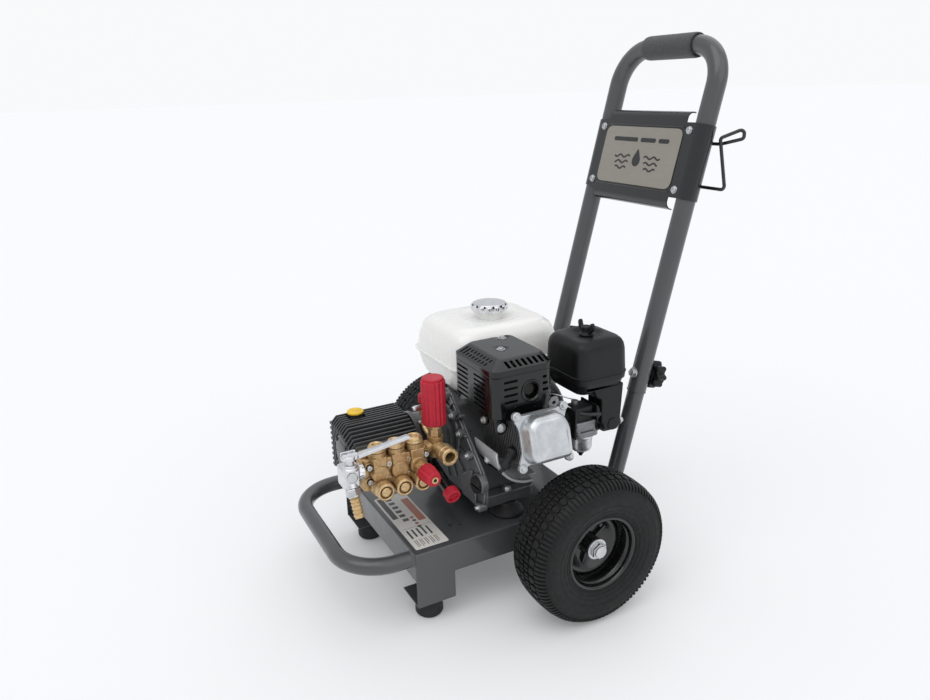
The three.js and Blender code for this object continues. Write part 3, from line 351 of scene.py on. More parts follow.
FRAME_GREY = powder_coat("frame_powder_coat", (0.06, 0.063, 0.0655), 0.33)
BLACK_GLOSS = powder_coat("black_powder_coat", (0.004, 0.0042, 0.0045), 0.24)
# In each cast_metal call the last colour, where given, is the painted shade in its crevices.
BLACK_SATIN = cast_metal("pump_case_paint", (0.05, 0.052, 0.054), 0.32, 0.0, 0.0002, (0.008, 0.008, 0.008))
BLACK_PLASTIC = moulded_plastic("black_moulding", (0.0065, 0.0068, 0.0072), 0.4)
GUARD_PLASTIC = moulded_plastic("guard_moulding", (0.003, 0.0032, 0.0035), 0.16, 700, 0.5)
RUBBER = rubber("black_rubber", (0.011, 0.011, 0.012))
HOSE = rubber("hose_rubber", (0.02, 0.021, 0.022), 0.5)
TYRE = tyre_rubber("tyre_rubber", (0.0078, 0.008, 0.0083))
FOAM = foam("grip_foam", (0.05, 0.051, 0.053))
PLATE = brushed_plate("brushed_plate", (0.36, 0.33, 0.29))
ZINC = plated_steel("zinc_plate", (0.62, 0.63, 0.64), 0.32)
NICKEL = plated_steel("nickel_plate", (0.7, 0.71, 0.73), 0.3)
CHROME = plated_steel("bright_plate", (0.74, 0.75, 0.77), 0.16)
BRASS = brass_casting("cast_brass", (0.5, 0.33, 0.16), 0.42, 0.0003)
TURNED_BRASS = brass_casting("turned_brass", (0.64, 0.45, 0.23), 0.34, 0.0001)
ENGINE_GREY = cast_metal("engine_casting", (0.16, 0.163, 0.167), 0.36, 0.55)
FIN_GREY = cast_metal("fin_casting", (0.12, 0.122, 0.125), 0.4, 0.55, 0.0003, (0.008, 0.008, 0.008))
ALUMINIUM = cast_metal("satin_aluminium", (0.62, 0.64, 0.66), 0.34, 0.85, 0.0001, (0.14, 0.14, 0.14))
CARB_GREY = cast_metal("carburetor_casting", (0.24, 0.248, 0.256), 0.42, 0.7, 0.0002)
SHEET_STEEL = painted_metal("shroud_paint", (0.62, 0.63, 0.64), 0.34, 0.45)
HOT_STEEL = cast_metal("muffler_steel", (0.03, 0.027, 0.025), 0.6, 0.4)
TANK_WHITE = tank_paint("tank_paint", (0.86, 0.85, 0.82))
RED = moulded_plastic("red_moulding", (0.4, 0.014, 0.03), 0.45, 700)
YELLOW = moulded_plastic("yellow_moulding", (0.72, 0.46, 0.03), 0.4)
# near-black fill for holes, bores and grooves: painted shade
SHADE_FILL = make_shade_fill("painted_shade_fill")
LABEL_WHITE = label_film("label_white", (0.72, 0.7, 0.66))
LABEL_ORANGE = label_film("label_orange", (0.42, 0.1, 0.03))
LABEL_BLACK = label_film("label_black", (0.02, 0.02, 0.02))


# ---- outlines -------------------------------------------------------------------------------

def rounded(points, radius, closed=True, steps=5):
    """The same outline with each corner eased by a curve that starts radius before it."""
    points = [Vector(p) for p in points]
    count = len(points)
    result = []
    for i, corner in enumerate(points):
        if not closed and i in (0, count - 1):
            result.append(corner)
            continue
        before, after = points[i - 1] - corner, points[(i + 1) % count] - corner
        reach = min(radius, 0.48 * before.length, 0.48 * after.length)
        start = corner + before.normalized() * reach
        end = corner + after.normalized() * reach
        for step in range(steps + 1):
            t = step / steps
            result.append(start * (1 - t) ** 2 + corner * 2 * t * (1 - t) + end * t * t)
    return result


def eased(line, radius):
    """The same for an open line, whose two ends stay."""
    return rounded(line, radius, closed=False)


def area(outline):
    return sum(a.x * b.y - b.x * a.y for a, b in zip(outline, outline[1:] + outline[:1])) / 2


def inset(outline, distance):
    """The outline moved inward, or outward for a negative distance."""
    sign = 1 if area(outline) > 0 else -1
    result = []
    for i, point in enumerate(outline):
        before = (point - outline[i - 1]).normalized()
        after = (outline[(i + 1) % len(outline)] - point).normalized()
        first, second = Vector((-before.y, before.x)), Vector((-after.y, after.x))
        mitre = (first + second) / max(1 + first.dot(second), 0.35)
        result.append(point + mitre * distance * sign)
    return result


def rectangle(width, height, corner, steps=6):
    a, b = width / 2, height / 2
    return rounded([(a, -b), (a, b), (-a, b), (-a, -b)], corner * 1.25, steps=steps)


def circle(radius, sides=48):
    turns = [math.tau * i / sides for i in range(sides)]
    return [Vector((radius * math.cos(a), radius * math.sin(a))) for a in turns]


def lobed(radius, depth, lobes, per_lobe=10, sharp=1.0):
    """A round outline with grooves between its lobes."""
    points = []
    for i in range(lobes * per_lobe):
        angle = math.tau * i / (lobes * per_lobe)
        dip = (0.5 - 0.5 * math.cos(angle * lobes)) ** sharp
        r = radius - depth * dip
        points.append(Vector((r * math.cos(angle), r * math.sin(angle))))
    return points


def band(path, thickness):
    """A closed outline of a sheet that follows a path."""
    path = [Vector(p) for p in path]
    sides = []
    for i, point in enumerate(path):
        ahead = path[min(i + 1, len(path) - 1)] - path[max(i - 1, 0)]
        across = Vector((-ahead.y, ahead.x)).normalized() * thickness / 2
        sides.append((point + across, point - across))
    return [a for a, _ in sides] + [b for _, b in reversed(sides)]


def arc(centre, radius, start, end, steps=12):
    """Points on an arc between two angles in degrees."""
    turns = [math.radians(start + (end - start) * i / steps) for i in range(steps + 1)]
    return [Vector((centre[0] + radius * math.cos(a), centre[1] + radius * math.sin(a))) for a in turns]


def bent(corners, radius, steps=14):
    """A centre line with a true arc of that radius at each corner."""
    points = [Vector(c) for c in corners]
    result = [points[0]]
    for before, corner, after in zip(points, points[1:], points[2:]):
        u, v = (before - corner).normalized(), (after - corner).normalized()
        half = u.angle(v) / 2
        centre = corner + (u + v).normalized() * radius / math.sin(half)
        start = corner + u * radius / math.tan(half) - centre
        end = corner + v * radius / math.tan(half) - centre
        axis, sweep = start.cross(end).normalized(), start.angle(end)
        for step in range(steps + 1):
            result.append(centre + Matrix.Rotation(sweep * step / steps, 3, axis) @ start)
    return result + [points[-1]]


def smooth_line(points, steps=6):
    """A curve through all the points."""
    points = [Vector(p) for p in points]
    ends = [points[0] * 2 - points[1]] + points + [points[-1] * 2 - points[-2]]
    line = []
    for a, b, c, d in zip(ends, ends[1:], ends[2:], ends[3:]):
        for step in range(steps):
            t = step / steps
            line.append(0.5 * (2 * b + (c - a) * t + (2 * a - 5 * b + 4 * c - d) * t * t
                               + (3 * b - a - 3 * c + d) * t ** 3))
    return line + [points[-1]]


def spun(at, degrees, axis):
    """A frame at a point, turned round a main axis."""
    return Matrix.Translation(at) @ Matrix.Rotation(math.radians(degrees), 4, axis)


def on_circle(centre, radius, degrees, axis="Y"):
    """A point on a circle that lies square to a main axis."""
    u, v = radius * math.cos(math.radians(degrees)), radius * math.sin(math.radians(degrees))
    return Vector(centre) + Vector({"X": (0, u, v), "Y": (u, 0, v), "Z": (u, v, 0)}[axis])


def basis(origin, axis):
    """A frame whose third axis points along a direction."""
    turn = Z.rotation_difference(Vector(axis).normalized()).to_matrix().to_4x4()
    return Matrix.Translation(origin) @ turn


# ---- forms ----------------------------------------------------------------------------------

class Form:
    """A mesh that grows by closed forms. Each takes the current place and material."""

    def __init__(self, place=None):
        self.mesh = bmesh.new()
        self.place = place or Matrix.Identity(4)
        self.index = 0

    def use(self, index):
        self.index = index
        return self

    def face(self, verts):
        distinct = list(dict.fromkeys(verts))
        if len(distinct) > 2:
            self.mesh.faces.new(distinct).material_index = self.index

    def add(self, other):
        """Takes in another form as it is."""
        whole = solid(other)
        self.mesh.from_mesh(whole.data)
        bpy.data.objects.remove(whole)
        return self

    def skin(self, loops, wrap=False):
        """Joins loops of equally many points, or single points, into one closed form."""
        rings = [[self.mesh.verts.new(self.place @ Vector(p)) for p in loop] for loop in loops]
        pairs = list(zip(rings, rings[1:])) + ([(rings[-1], rings[0])] if wrap else [])
        for a, b in pairs:
            sides = max(len(a), len(b))
            for i in range(sides):
                j = (i + 1) % sides
                self.face([a[i % len(a)], a[j % len(a)], b[j % len(b)], b[i % len(b)]])
        if not wrap:
            for ring in (rings[0], rings[-1]):
                self.face(ring)
        return self

    def prism(self, outline, axis, low, high, ease=0.0, steps=3):
        """An outline pushed along x, y or z, with its two rims rounded."""
        outline = [Vector(p) for p in outline]
        ease = min(ease, 0.49 * abs(high - low))
        levels = [(0.0, low), (0.0, high)]
        if ease > 0:
            turns = [math.pi / 2 * k / steps for k in range(steps + 1)]
            low_rim = [(ease * (1 - math.sin(a)), low + ease * (1 - math.cos(a))) for a in turns]
            high_rim = [(ease * (1 - math.sin(a)), high - ease * (1 - math.cos(a))) for a in turns]
            levels = low_rim + high_rim[::-1]
        loops = []
        for shrink, level in levels:
            loop = inset(outline, shrink) if shrink > 1e-6 else outline
            put = {"x": lambda p: (level, p.x, p.y), "y": lambda p: (p.x, level, p.y),
                   "z": lambda p: (p.x, p.y, level)}[axis]
            loops.append([put(p) for p in loop])
        return self.skin(loops)

    def box(self, low, high, ease=0.8, corner=None):
        """A block with rounded edges, and wider corners seen from above if corner is given."""
        (x0, y0, z0), (x1, y1, z1) = low, high
        limit = 0.45 * min(x1 - x0, y1 - y0)
        outline = rectangle(x1 - x0, y1 - y0, min(ease if corner is None else corner, limit))
        middle = Vector(((x0 + x1) / 2, (y0 + y1) / 2))
        return self.prism([p + middle for p in outline], "z", z0, z1, min(ease, limit), 4)

    def lathe(self, profile, origin, axis, sides=48, closed=False):
        """Turns [radius, height] points round an axis."""
        place = basis(origin, axis)
        turns = [math.tau * i / sides for i in range(sides)]
        loops = []
        for radius, height in profile:
            if radius < 1e-6:
                loops.append([place @ Vector((0, 0, height))])
            else:
                loops.append([place @ Vector((radius * math.cos(a), radius * math.sin(a), height))
                              for a in turns])
        return self.skin(loops, wrap=closed)

    def ring(self, section, origin, axis, sides=48):
        """Turns a closed section round an axis."""
        return self.lathe(section, origin, axis, sides, closed=True)

    def bar(self, start, end, radius, ease=0.6, sides=32):
        """A round bar, or a hexagon with 6 sides, with its rims eased."""
        start, end = Vector(start), Vector(end)
        length = (end - start).length
        ease = min(ease, 0.45 * length)
        profile = [(0, 0), (radius - ease, 0), (radius - 0.3 * ease, 0.3 * ease), (radius, ease),
                   (radius, length - ease), (radius - 0.3 * ease, length - 0.3 * ease),
                   (radius - ease, length), (0, length)]
        return self.lathe(profile, start, end - start, sides)

    def pipe(self, line, radius, sides=24):
        """A round bar along a curved centre line."""
        line = [Vector(p) for p in line]
        side = (line[1] - line[0]).orthogonal().normalized()
        loops = []
        for i, point in enumerate(line):
            ahead = (line[min(i + 1, len(line) - 1)] - line[max(i - 1, 0)]).normalized()
            side = (side - ahead * side.dot(ahead)).normalized()
            across = ahead.cross(side)
            loops.append([point + radius * (math.cos(a) * side + math.sin(a) * across)
                          for a in (math.tau * k / sides for k in range(sides))])
        return self.skin(loops)

    def knob(self, outline, origin, axis, length, ease):
        """A fluted outline along a direction."""
        kept = self.place
        self.place = kept @ basis(origin, axis)
        self.prism(outline, "z", 0, length, ease, 4)
        self.place = kept
        return self

    def bolt(self, at, axis, radius, height=None, washer=0.0, socket=False):
        """A hexagon or socket head that stands on a face, on a washer if asked."""
        at, axis = Vector(at), Vector(axis).normalized()
        height = height or radius * 0.8
        if washer:
            self.bar(at - axis, at + axis * 1.2, washer, 0.3)
            at = at + axis * 1.1
        if not socket:
            self.bar(at - axis, at + axis * height, radius, radius * 0.12, 6)
            return self.bar(at, at + axis * (height + 0.5), radius * 0.62, 0.4, 20)
        rim, bore = radius * 0.88, radius * 0.5
        profile = [(0, -1), (radius, -1), (radius, height - 0.6), (rim, height), (bore, height),
                   (bore, height * 0.35), (0, height * 0.35)]
        return self.lathe(profile, at, axis, 24)


def solid(form, name="work"):
    """The form as an object of its own, still in millimetres."""
    bmesh.ops.recalc_face_normals(form.mesh, faces=form.mesh.faces)
    mesh = bpy.data.meshes.new(name)
    form.mesh.to_mesh(mesh)
    form.mesh.free()
    return bpy.data.objects.new(name, mesh)


def carve(form, *cutters):
    """Cuts each form in turn out of the first, and gives back a form."""
    body = solid(form)
    bpy.context.scene.collection.objects.link(body)
    for cutter in cutters:
        tool = solid(cutter, "tool")
        bpy.context.scene.collection.objects.link(tool)
        modifier = body.modifiers.new("cut", "BOOLEAN")
        modifier.operation = "DIFFERENCE"
        modifier.solver = "MANIFOLD"
        modifier.object = tool
        shape = body.evaluated_get(bpy.context.evaluated_depsgraph_get())
        mesh = bpy.data.meshes.new_from_object(shape)
        body.modifiers.clear()
        body.data = mesh
        bpy.data.objects.remove(tool)
    result = Form()
    result.mesh.from_mesh(body.data)
    bpy.data.objects.remove(body)
    return result


def place_piece(name, form, materials, body, crease=34):
    """Moves a form into the row frame, smooths it and lets it ride on its body."""
    obj = solid(form, name)
    obj.data.transform(Matrix.Translation(ORIGIN) @ Matrix.Scale(MM, 4))
    bpy.context.scene.collection.objects.link(obj)
    for material in materials:
        obj.data.materials.append(material)
    obj.data.shade_smooth()
    obj.data.set_sharp_from_angle(angle=math.radians(crease))
    shading = obj.modifiers.new("even_shading", "WEIGHTED_NORMAL")
    shading.keep_sharp = True
    if body:
        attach(obj, body)
    return obj


def piece(node, form, *materials, crease=34):
    """A finished form that stands for a CAD node, on the same body."""
    obj = place_piece(f"{node}_fine", form, materials, BODY_OF[node], crease)
    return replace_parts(obj, node)


add_camera()
add_studio()


# ---- deck, bumper and feet ------------------------------------------------------------------

DECK = {"half": 175, "length": 359, "top": 142, "sheet": 2.5, "skirt": 90}
LEG = {"length": 71, "bottom": 39, "flange": 110}
BUMPER = {"x": 157, "front": -105, "z": 127.5, "bend": 78, "radius": 14.3}
FOOT = {"x": 141, "y": 35}
TUBE_X = 133.4
MOUNTS = (("left", 128, 202), ("right_front", -46, 172), ("right_rear", -46, 234))


def make_deck():
    """Folded sheet deck: top and skirt, two front legs with their foot flanges, drilled holes."""
    w, length, top, sheet, skirt = DECK.values()
    outer = Form().box((-w, 0, LEG["bottom"] - 20), (w, length, top), 3.6)
    inner = Form().box((-w + sheet, sheet, 0), (w - sheet, length - sheet, top - sheet), 1.5)
    behind = Form().box((-w - 9, LEG["length"], 0), (w + 9, length + 9, skirt), 0.5)
    front = Form().box((-w + sheet, -9, 0), (w - sheet, LEG["length"] + 9, skirt), 0.5)
    below = Form().box((-w - 9, -9, 0), (w + 9, length + 9, LEG["bottom"]), 0.5)
    holes = Form()
    drilled = ((118, 92), (126, 108), (-120, 92), (-128, 108))
    for x, y in drilled:
        holes.bar((x, y, top - 12), (x, y, top + 8), 3, 0.1, 20)
    deck = carve(outer, inner, behind, front, below, holes).use(1)
    # dark discs just under the drilled holes: painted shade seen through them
    for x, y in drilled:
        deck.bar((x, y, top - 3.4), (x, y, top - 2.2), 4, 0.1, 20)
    deck.use(0)
    for _, side in SIDES:
        x0, x1 = sorted((side * LEG["flange"], side * (w - sheet + 0.4)))
        deck.box((x0, 1, LEG["bottom"]), (x1, LEG["length"], LEG["bottom"] + sheet), 0.9)
    piece("deck_plate", deck, FRAME_GREY, SHADE_FILL)


def make_bumper():
    """Bent front tube, with a weld bead where each end meets the deck."""
    x, front, z, bend, radius = BUMPER.values()
    form = Form().pipe(bent([(x, 1, z), (x, front, z), (-x, front, z), (-x, 1, z)], bend), radius, 36)
    bead = [(13.8, 0.5), (17.2, 0.5), (16.6, 1.9), (15.4, 3.1), (14, 4.4), (13.8, 4.4)]
    for _, side in SIDES:
        form.ring(bead, (side * x, 0.6, z), (0, -1, 0), 40)
    piece("bumper_tube", form, FRAME_GREY)


def make_foot(label, side):
    """Rubber foot with its stud and nut."""
    x, y = side * FOOT["x"], FOOT["y"]
    rubber_body = eased([(0, 0), (20, 0), (24.4, 5), (24.4, 12), (22.6, 34), (20, 38.6), (0, 38.6)], 2.5)
    form = Form().lathe(rubber_body, (x, y, 0), Z, 56)
    form.use(1).bar((x, y, 36), (x, y, 54), 4, 0.8, 20)
    form.bolt((x, y, 41.8), Z, 7.5, 6.5, washer=10)
    piece(f"foot_{label}", form, RUBBER, ZINC)


def make_mount(label, x, y):
    """Domed rubber disc under the engine, with its bolt."""
    dome = eased([(0, 142.3), (29, 142.3), (31, 145), (29.5, 149), (23, 155), (17, 159.5),
                    (15, 164.7), (0, 164.7)], 1.6)
    form = Form().lathe(dome, (x, y, 0), Z, 56)
    form.use(1).bar((x, y, 128), (x, y, 143), 4.5, 0.6, 20)
    piece(f"engine_mount_{label}", form, RUBBER, ZINC)


def make_label():
    """Adhesive label on the deck with plain blocks where a real one has its notices."""
    x0, x1, y0, y1, z = -30, 161, 8, 69, DECK["top"]
    form = Form().box((x0, y0, z - 0.2), (x1, y1, z + 0.35), 0.1, 3)
    mark = z + 0.5
    form.use(1).box((x0 + 24, y1 - 18, z), (x0 + 108, y1 - 4, mark), 0.05, 1)
    form.use(2).box((x0 + 4, y0 + 4, z), (x0 + 84, y0 + 14, mark), 0.05, 1)
    for column in range(6):
        x = x0 + 10 + column * 16
        form.use(2).box((x, y0 + 18, z), (x + 9, y0 + 29, mark), 0.05, 1)
    for column, tone in enumerate((1, 2, 1, 2)):
        x = x0 + 92 + column * 11
        form.use(tone).bar((x, y0 + 36, z), (x, y0 + 36, mark), 3.6, 0.1, 24)
    for row in range(5):
        y = y0 + 8 + row * 9
        form.use(2).box((x1 - 62, y, z), (x1 - 34 - 3 * (row % 2), y + 3.4, mark), 0.05, 0.6)
        form.use(3).box((x1 - 28, y, z), (x1 - 6, y + 1.2, mark), 0.05, 0.3)
        form.use(3).box((x1 - 28, y + 3.4, z), (x1 - 8 - 2 * (row % 3), y + 4.6, mark), 0.05, 0.3)
    form.use(3).box((x1 - 68, y0 + 4, z), (x1 - 67.4, y1 - 4, mark), 0.02, 0.1)
    place_piece("deck_label", form, (LABEL_WHITE, LABEL_ORANGE, LABEL_BLACK, FOAM), "root")


make_deck()
make_bumper()
for label, side in SIDES:
    make_foot(label, side)
for label, x, y in MOUNTS:
    make_mount(label, x, y)
make_label()


# ---- axle and wheels ------------------------------------------------------------------------

WHEEL = {"x": 272, "y": 277, "z": 131, "radius": 131}
PITCHES = 50
RIM_RIBS = 5
RIB_START = math.degrees(0.3)


def make_axle():
    """Wheel axle, with an inner collar, a washer and a nut at each end."""
    y, z = WHEEL["y"], WHEEL["z"]
    form = Form().bar((-305, y, z), (305, y, z), 8, 1.2, 32)
    collar, washer = (233, 237.7, 12, 0.6, 36), (292.3, 294.8, 18.5, 0.8, 48)
    nut, crown_of_nut = (294.6, 303, 14.4, 1.4, 6), (302, 306, 11, 1.2, 40)
    for _, side in SIDES:
        for start, end, radius, ease, sides in (collar, washer, nut, crown_of_nut):
            form.bar((side * start, y, z), (side * end, y, z), radius, ease, sides)
    piece("axle", form, ZINC)


def crown(across):
    """Radius of the tread at a distance from its middle."""
    return WHEEL["radius"] - 0.0021 * across * across


def make_tyre(label, side):
    """Smooth carcass with moulded rings, and a tread of studs, cups and shoulder lugs."""
    centre = Vector((side * WHEEL["x"], WHEEL["y"], WHEEL["z"]))
    half = [(61.5, 33), (64, 37), (70, 41), (80, 45), (92, 47.6), (103, 47.8), (111, 46.2), (118, 43),
            (123, 38.5), (126, 32), (126.9, 24), (127.2, 8)]
    ring = [Vector(p) for p in half]
    ring = smooth_line(ring, 3)
    ring += [Vector((p.x, -p.y)) for p in reversed(ring)]
    form = Form().ring(ring, centre, (side, 0, 0), 144)
    lines = ((113.5, 45.0, 0.9), (110.6, 46.1, 0.5), (104, 47.6, 0.4), (90, 47.3, 0.45), (81, 45.3, 0.4),
             (74, 42.9, 0.8), (69, 40.6, 0.9))
    for radius, height, thick in lines:
        for face in (1, -1):
            line = [Vector((radius, face * height)) + p for p in circle(thick, 8)]
            form.ring(line, centre, (side, 0, 0), 144)

    def wrap(across, around, radius):
        angle = around / WHEEL["radius"]
        return centre + Vector((side * across, radius * math.cos(angle), radius * math.sin(angle)))

    def stud(outline):
        levels = ((0, 4.6), (0, 0.7), (0.7, 0))
        loops = []
        for shrink, depth in levels:
            loop = inset([Vector(p) for p in outline], shrink) if shrink else outline
            loops.append([wrap(p[0], p[1], crown(p[0]) - depth) for p in loop])
        form.skin(loops)

    def lug(face, middle):
        path = ((30, 128.6), (36, 127.2), (40.6, 124.2), (43.4, 121), (45, 118))
        loops = []
        for step, (across, radius) in enumerate(path):
            half_width = 2.9 - 0.25 * step
            deep = 4 if step < 3 else 3
            corners = ((-half_width, deep * 0.7, deep), (-half_width, 0, 0), (half_width, 0, 0),
                       (half_width, deep * 0.7, deep))
            loops.append([wrap(face * (across - shift), middle + around, radius - drop)
                          for around, shift, drop in corners])
        form.skin(loops)

    pitch = math.tau * WHEEL["radius"] / PITCHES
    for i in range(PITCHES):
        for face in (1, -1):
            middle = i * pitch + (0 if face > 0 else pitch / 2)
            for shift in (-3.4, 3.4):
                around = middle + shift
                stud(rounded([(face * 1.6, around - 2.6), (face * 11.6, around - 2.6),
                              (face * 11.6, around + 2.6), (face * 1.6, around + 2.6)], 1, steps=2))
            cup = [(14.4, -4.8), (21, -6), (26.5, -4.2), (28.2, 0), (26.5, 4.2), (21, 6), (14.4, 4.8)]
            stud([(face * a, b + middle) for a, b in cup])
            lug(face, middle + pitch / 4)
            lug(face, middle + 3 * pitch / 4)
    piece(f"tyre_{label}", form, TYRE)


def make_rim(label, side):
    """Deep rim with a closed web, five low ribs, a hub and the valve stem."""
    centre = (side * WHEEL["x"], WHEEL["y"], WHEEL["z"])
    axis = (side, 0, 0)
    half = [(67, 36.5), (65.5, 38.6), (63, 38.8), (61, 36), (60, 31), (57, 27.5), (55.6, 22), (55.2, 12)]
    barrel = smooth_line(half + [(55, 0)] + [(r, -x) for r, x in reversed(half)], 3)
    rim = Form().ring(band(barrel, 2), centre, axis, 96)
    web_line = smooth_line([(54.6, 4), (51, 6.6), (46, 5), (38, -1), (30, -5), (22, -6), (16.4, -6)], 4)
    web = Form().ring(band(web_line, 2.4), centre, axis, 96)
    low, high = sorted((-side * 7, side * 1.6))
    for i in range(RIM_RIBS):
        web.place = spun(centre, RIB_START + 360 * i / RIM_RIBS, "X")
        web.box((low, -3, 15), (high, 3, 47), 1.6)
    web.place = Matrix.Identity(4)
    hub = [(8.3, -33.5), (15.5, -33.5), (17, -32), (17, -8), (19, -6), (19, -3), (17, -1), (17, 18.5),
           (15.5, 20), (8.3, 20)]
    web.ring(hub, centre, axis, 48)
    rim.add(web)
    valve = Vector(centre) + Vector((side * 14, 0, 50))
    rim.bar(valve - X * side * 6, valve + X * side * 16, 3, 0.8, 16)
    piece(f"rim_{label}", rim, BLACK_GLOSS)


make_axle()
for label, side in SIDES:
    make_tyre(label, side)
    make_rim(label, side)


# ---- handle ---------------------------------------------------------------------------------

RAKE = 0.27
RAKE_LENGTH = math.hypot(1, RAKE)
UP_TUBE = Vector((0, RAKE, 1)) / RAKE_LENGTH
BEHIND_TUBE = Vector((0, 1, -RAKE)) / RAKE_LENGTH
HANDLE = {"radius": 17.5, "top": 924.5, "bend": 70, "seam": 316}
CLAMP_Z = 350
PANEL = {"bottom": 662, "height": 128 * RAKE_LENGTH, "front": -20.3, "lip": 20}


def tube_at(x, z):
    """The middle of a handle tube at a height."""
    return Vector((x, 396.9 + RAKE * z, z))


def on_handle(z):
    """A frame with x across, y behind the tubes and z up along them."""
    turn = Matrix((X, BEHIND_TUBE, UP_TUBE)).transposed().to_4x4()
    return Matrix.Translation(tube_at(0, z)) @ turn


def make_socket_tube(label, side):
    """Lower tube from under the deck to the handle, with its slotted spigot."""
    x = side * TUBE_X
    seam = tube_at(x, HANDLE["seam"])
    line = bent([(x, 296, 122), tube_at(x, 122), seam - UP_TUBE * 0.3], 62)
    form = Form().pipe(line, 16, 36)
    slot = Form(Matrix.Translation(tube_at(x, CLAMP_Z)) @ on_handle(0).to_3x3().to_4x4())
    slot.box((-4.7, -30, -4.7), (4.7, 30, 121), 4.5)
    spigot = carve(Form().bar(seam - UP_TUBE * 6, seam + UP_TUBE * 126, 14.4, 1.2, 36), slot)
    form.add(spigot)
    piece(f"socket_tube_{label}", form, FRAME_GREY)


def make_handle_tube():
    """The tall hoop, bored at both ends for the spigots."""
    r = HANDLE["radius"]
    corners = [tube_at(TUBE_X, HANDLE["seam"]), tube_at(TUBE_X, HANDLE["top"]),
               tube_at(-TUBE_X, HANDLE["top"]), tube_at(-TUBE_X, HANDLE["seam"])]
    line = bent(corners, HANDLE["bend"], 20)
    outside = Form().pipe(line, r, 40)
    tools = []
    for _, side in SIDES:
        foot = tube_at(side * TUBE_X, HANDLE["seam"])
        tools.append(Form().bar(foot - UP_TUBE * 20, foot + UP_TUBE * 140, r - 2, 0.1, 40))
    form = carve(outside, *tools)
    for _, side in SIDES:
        foot = tube_at(side * TUBE_X, HANDLE["seam"])
        lip = [(r - 0.5, 0), (r + 0.4, 0.2), (r + 0.7, 1.2), (r + 0.4, 2.4), (r - 0.5, 3)]
        form.ring(lip, foot, UP_TUBE, 40)
    piece("handle_tube", form, FRAME_GREY)


def make_grip():
    """Foam sleeve on the top of the handle."""
    ring = rounded([(18.5, -66), (21.4, -66), (22.2, -60), (22.2, 60), (21.4, 66), (18.5, 66)], 2.2)
    form = Form().ring(ring, tube_at(0, HANDLE["top"]), X, 56)
    piece("handle_grip", form, FOAM)


def make_clamp_knob(label, side):
    """Fluted knob behind a tube, with its bolt and washer in front."""
    bolt = tube_at(side * TUBE_X, CLAMP_Z)

    def at(distance):
        return bolt + BEHIND_TUBE * distance
    form = Form().knob(lobed(26.5, 6.5, 8, 12, 1.4), at(21), BEHIND_TUBE, 23, 5)
    form.bar(at(18.3), at(24), 12.5, 1, 36)
    form.bar(at(40), at(46), 10, 2, 32)
    form.use(1).bar(at(-20), at(22), 4, 0.5, 20)
    form.bolt(at(-18.4), -BEHIND_TUBE, 7.5, 5.5, washer=10)
    piece(f"clamp_knob_{label}", form, BLACK_PLASTIC, ZINC)


def make_panel():
    """Folded sheet between the tubes, wrapped round both and rolled at both edges."""
    height, front, lip = PANEL["height"], PANEL["front"], PANEL["lip"]
    form = Form(on_handle(PANEL["bottom"]))
    face = [Vector((p.y, p.x)) for p in rectangle(height, 2 * TUBE_X, 1)]
    form.prism([p + Vector((0, height / 2)) for p in face], "y", front, front + 2, 0.7)
    for end, turn in ((0, -1), (height, 1)):
        edge = [(front + 1, end - turn * 6), (front + 1, end + turn * (lip - 13))]
        edge += [(front + 14 - 13 * math.cos(a), end + turn * (lip - 13 + 13 * math.sin(a)))
                 for a in (math.pi / 2 * k / 8 for k in range(1, 9))]
        edge += [(front + 17, end + turn * lip)]
        form.prism(band(edge, 2.2), "x", -108, 108, 0.8)
    for bead in (9, height - 9):
        form.prism([(front + p.x, bead + p.y) for p in circle(1.7, 16)], "x", -106, 106, 0.8)
    for _, side in SIDES:
        sleeve = arc((side * TUBE_X, 0), 18.8, -90, -90 + side * 207, 28)
        form.prism(band(sleeve, 2), "z", 0, height, 0.8)
        for w in (14, height - 14):
            form.use(1).bolt((side * 120, front, w), -Y, 5.4, 3.2, washer=7, socket=True).use(0)
    piece("handle_panel", form, BLACK_GLOSS, ZINC, crease=40)


def make_name_plate():
    """A plain plate with a water drop and wave lines, and no lettering."""
    height, front = PANEL["height"], PANEL["front"]
    form = Form(on_handle(PANEL["bottom"]))
    middle = Vector((0, height / 2))
    outline = [p + middle for p in rectangle(214, 108, 13)]
    form.prism(outline, "y", front - 1.7, front - 0.2, 0.5)
    mark = (front - 2.0, front - 1.2)
    for x0, x1 in ((-78, -8), (0, 42), (50, 78)):
        bar = [Vector(((x0 + x1) / 2, height / 2 + 30)) + p for p in rectangle(x1 - x0, 8, 3.5)]
        form.use(1).prism(bar, "y", *mark, 0.1)
    drop = [(0, 20), (7, 8), (11, 0), (11, -6), (7, -12), (0, -14.5), (-7, -12), (-11, -6), (-11, 0), (-7, 8)]
    form.prism([p + middle - Vector((0, 6)) for p in rounded(drop, 3)], "y", *mark, 0.1)
    for row in range(3):
        for side in (1, -1):
            wave = [Vector((side * (20 + row * 3 + t * 3.2),
                            height / 2 - 2 - row * 11 + 2.4 * math.sin(t * 0.9)))
                    for t in range(15 - 2 * row)]
            form.prism(band(wave, 3.4), "y", *mark, 0.1)
    piece("name_plate", form, PLATE, BLACK_GLOSS)


def make_hose_hooks():
    """One bent wire behind the panel, with a hook on each side."""
    def behind(x, z, distance):
        return tube_at(x, z) + Vector((0, distance, 0))
    hook = [behind(104, 757, 25), behind(150, 757, 32), (186, 650, 767), (186, 650, 784), (157, 624, 768),
            (184, 616, 682), behind(112, 684, 25)]
    mirrored = [(-x, y, z) for x, y, z in reversed([tuple(p) for p in hook])]
    form = Form().pipe(bent(hook + mirrored, 6, 8), 3.1, 20)
    piece("hose_hooks", form, BLACK_GLOSS)


for label, side in SIDES:
    make_socket_tube(label, side)
    make_clamp_knob(label, side)
make_handle_tube()
make_grip()
make_panel()
make_name_plate()
make_hose_hooks()


# ---- engine ---------------------------------------------------------------------------------

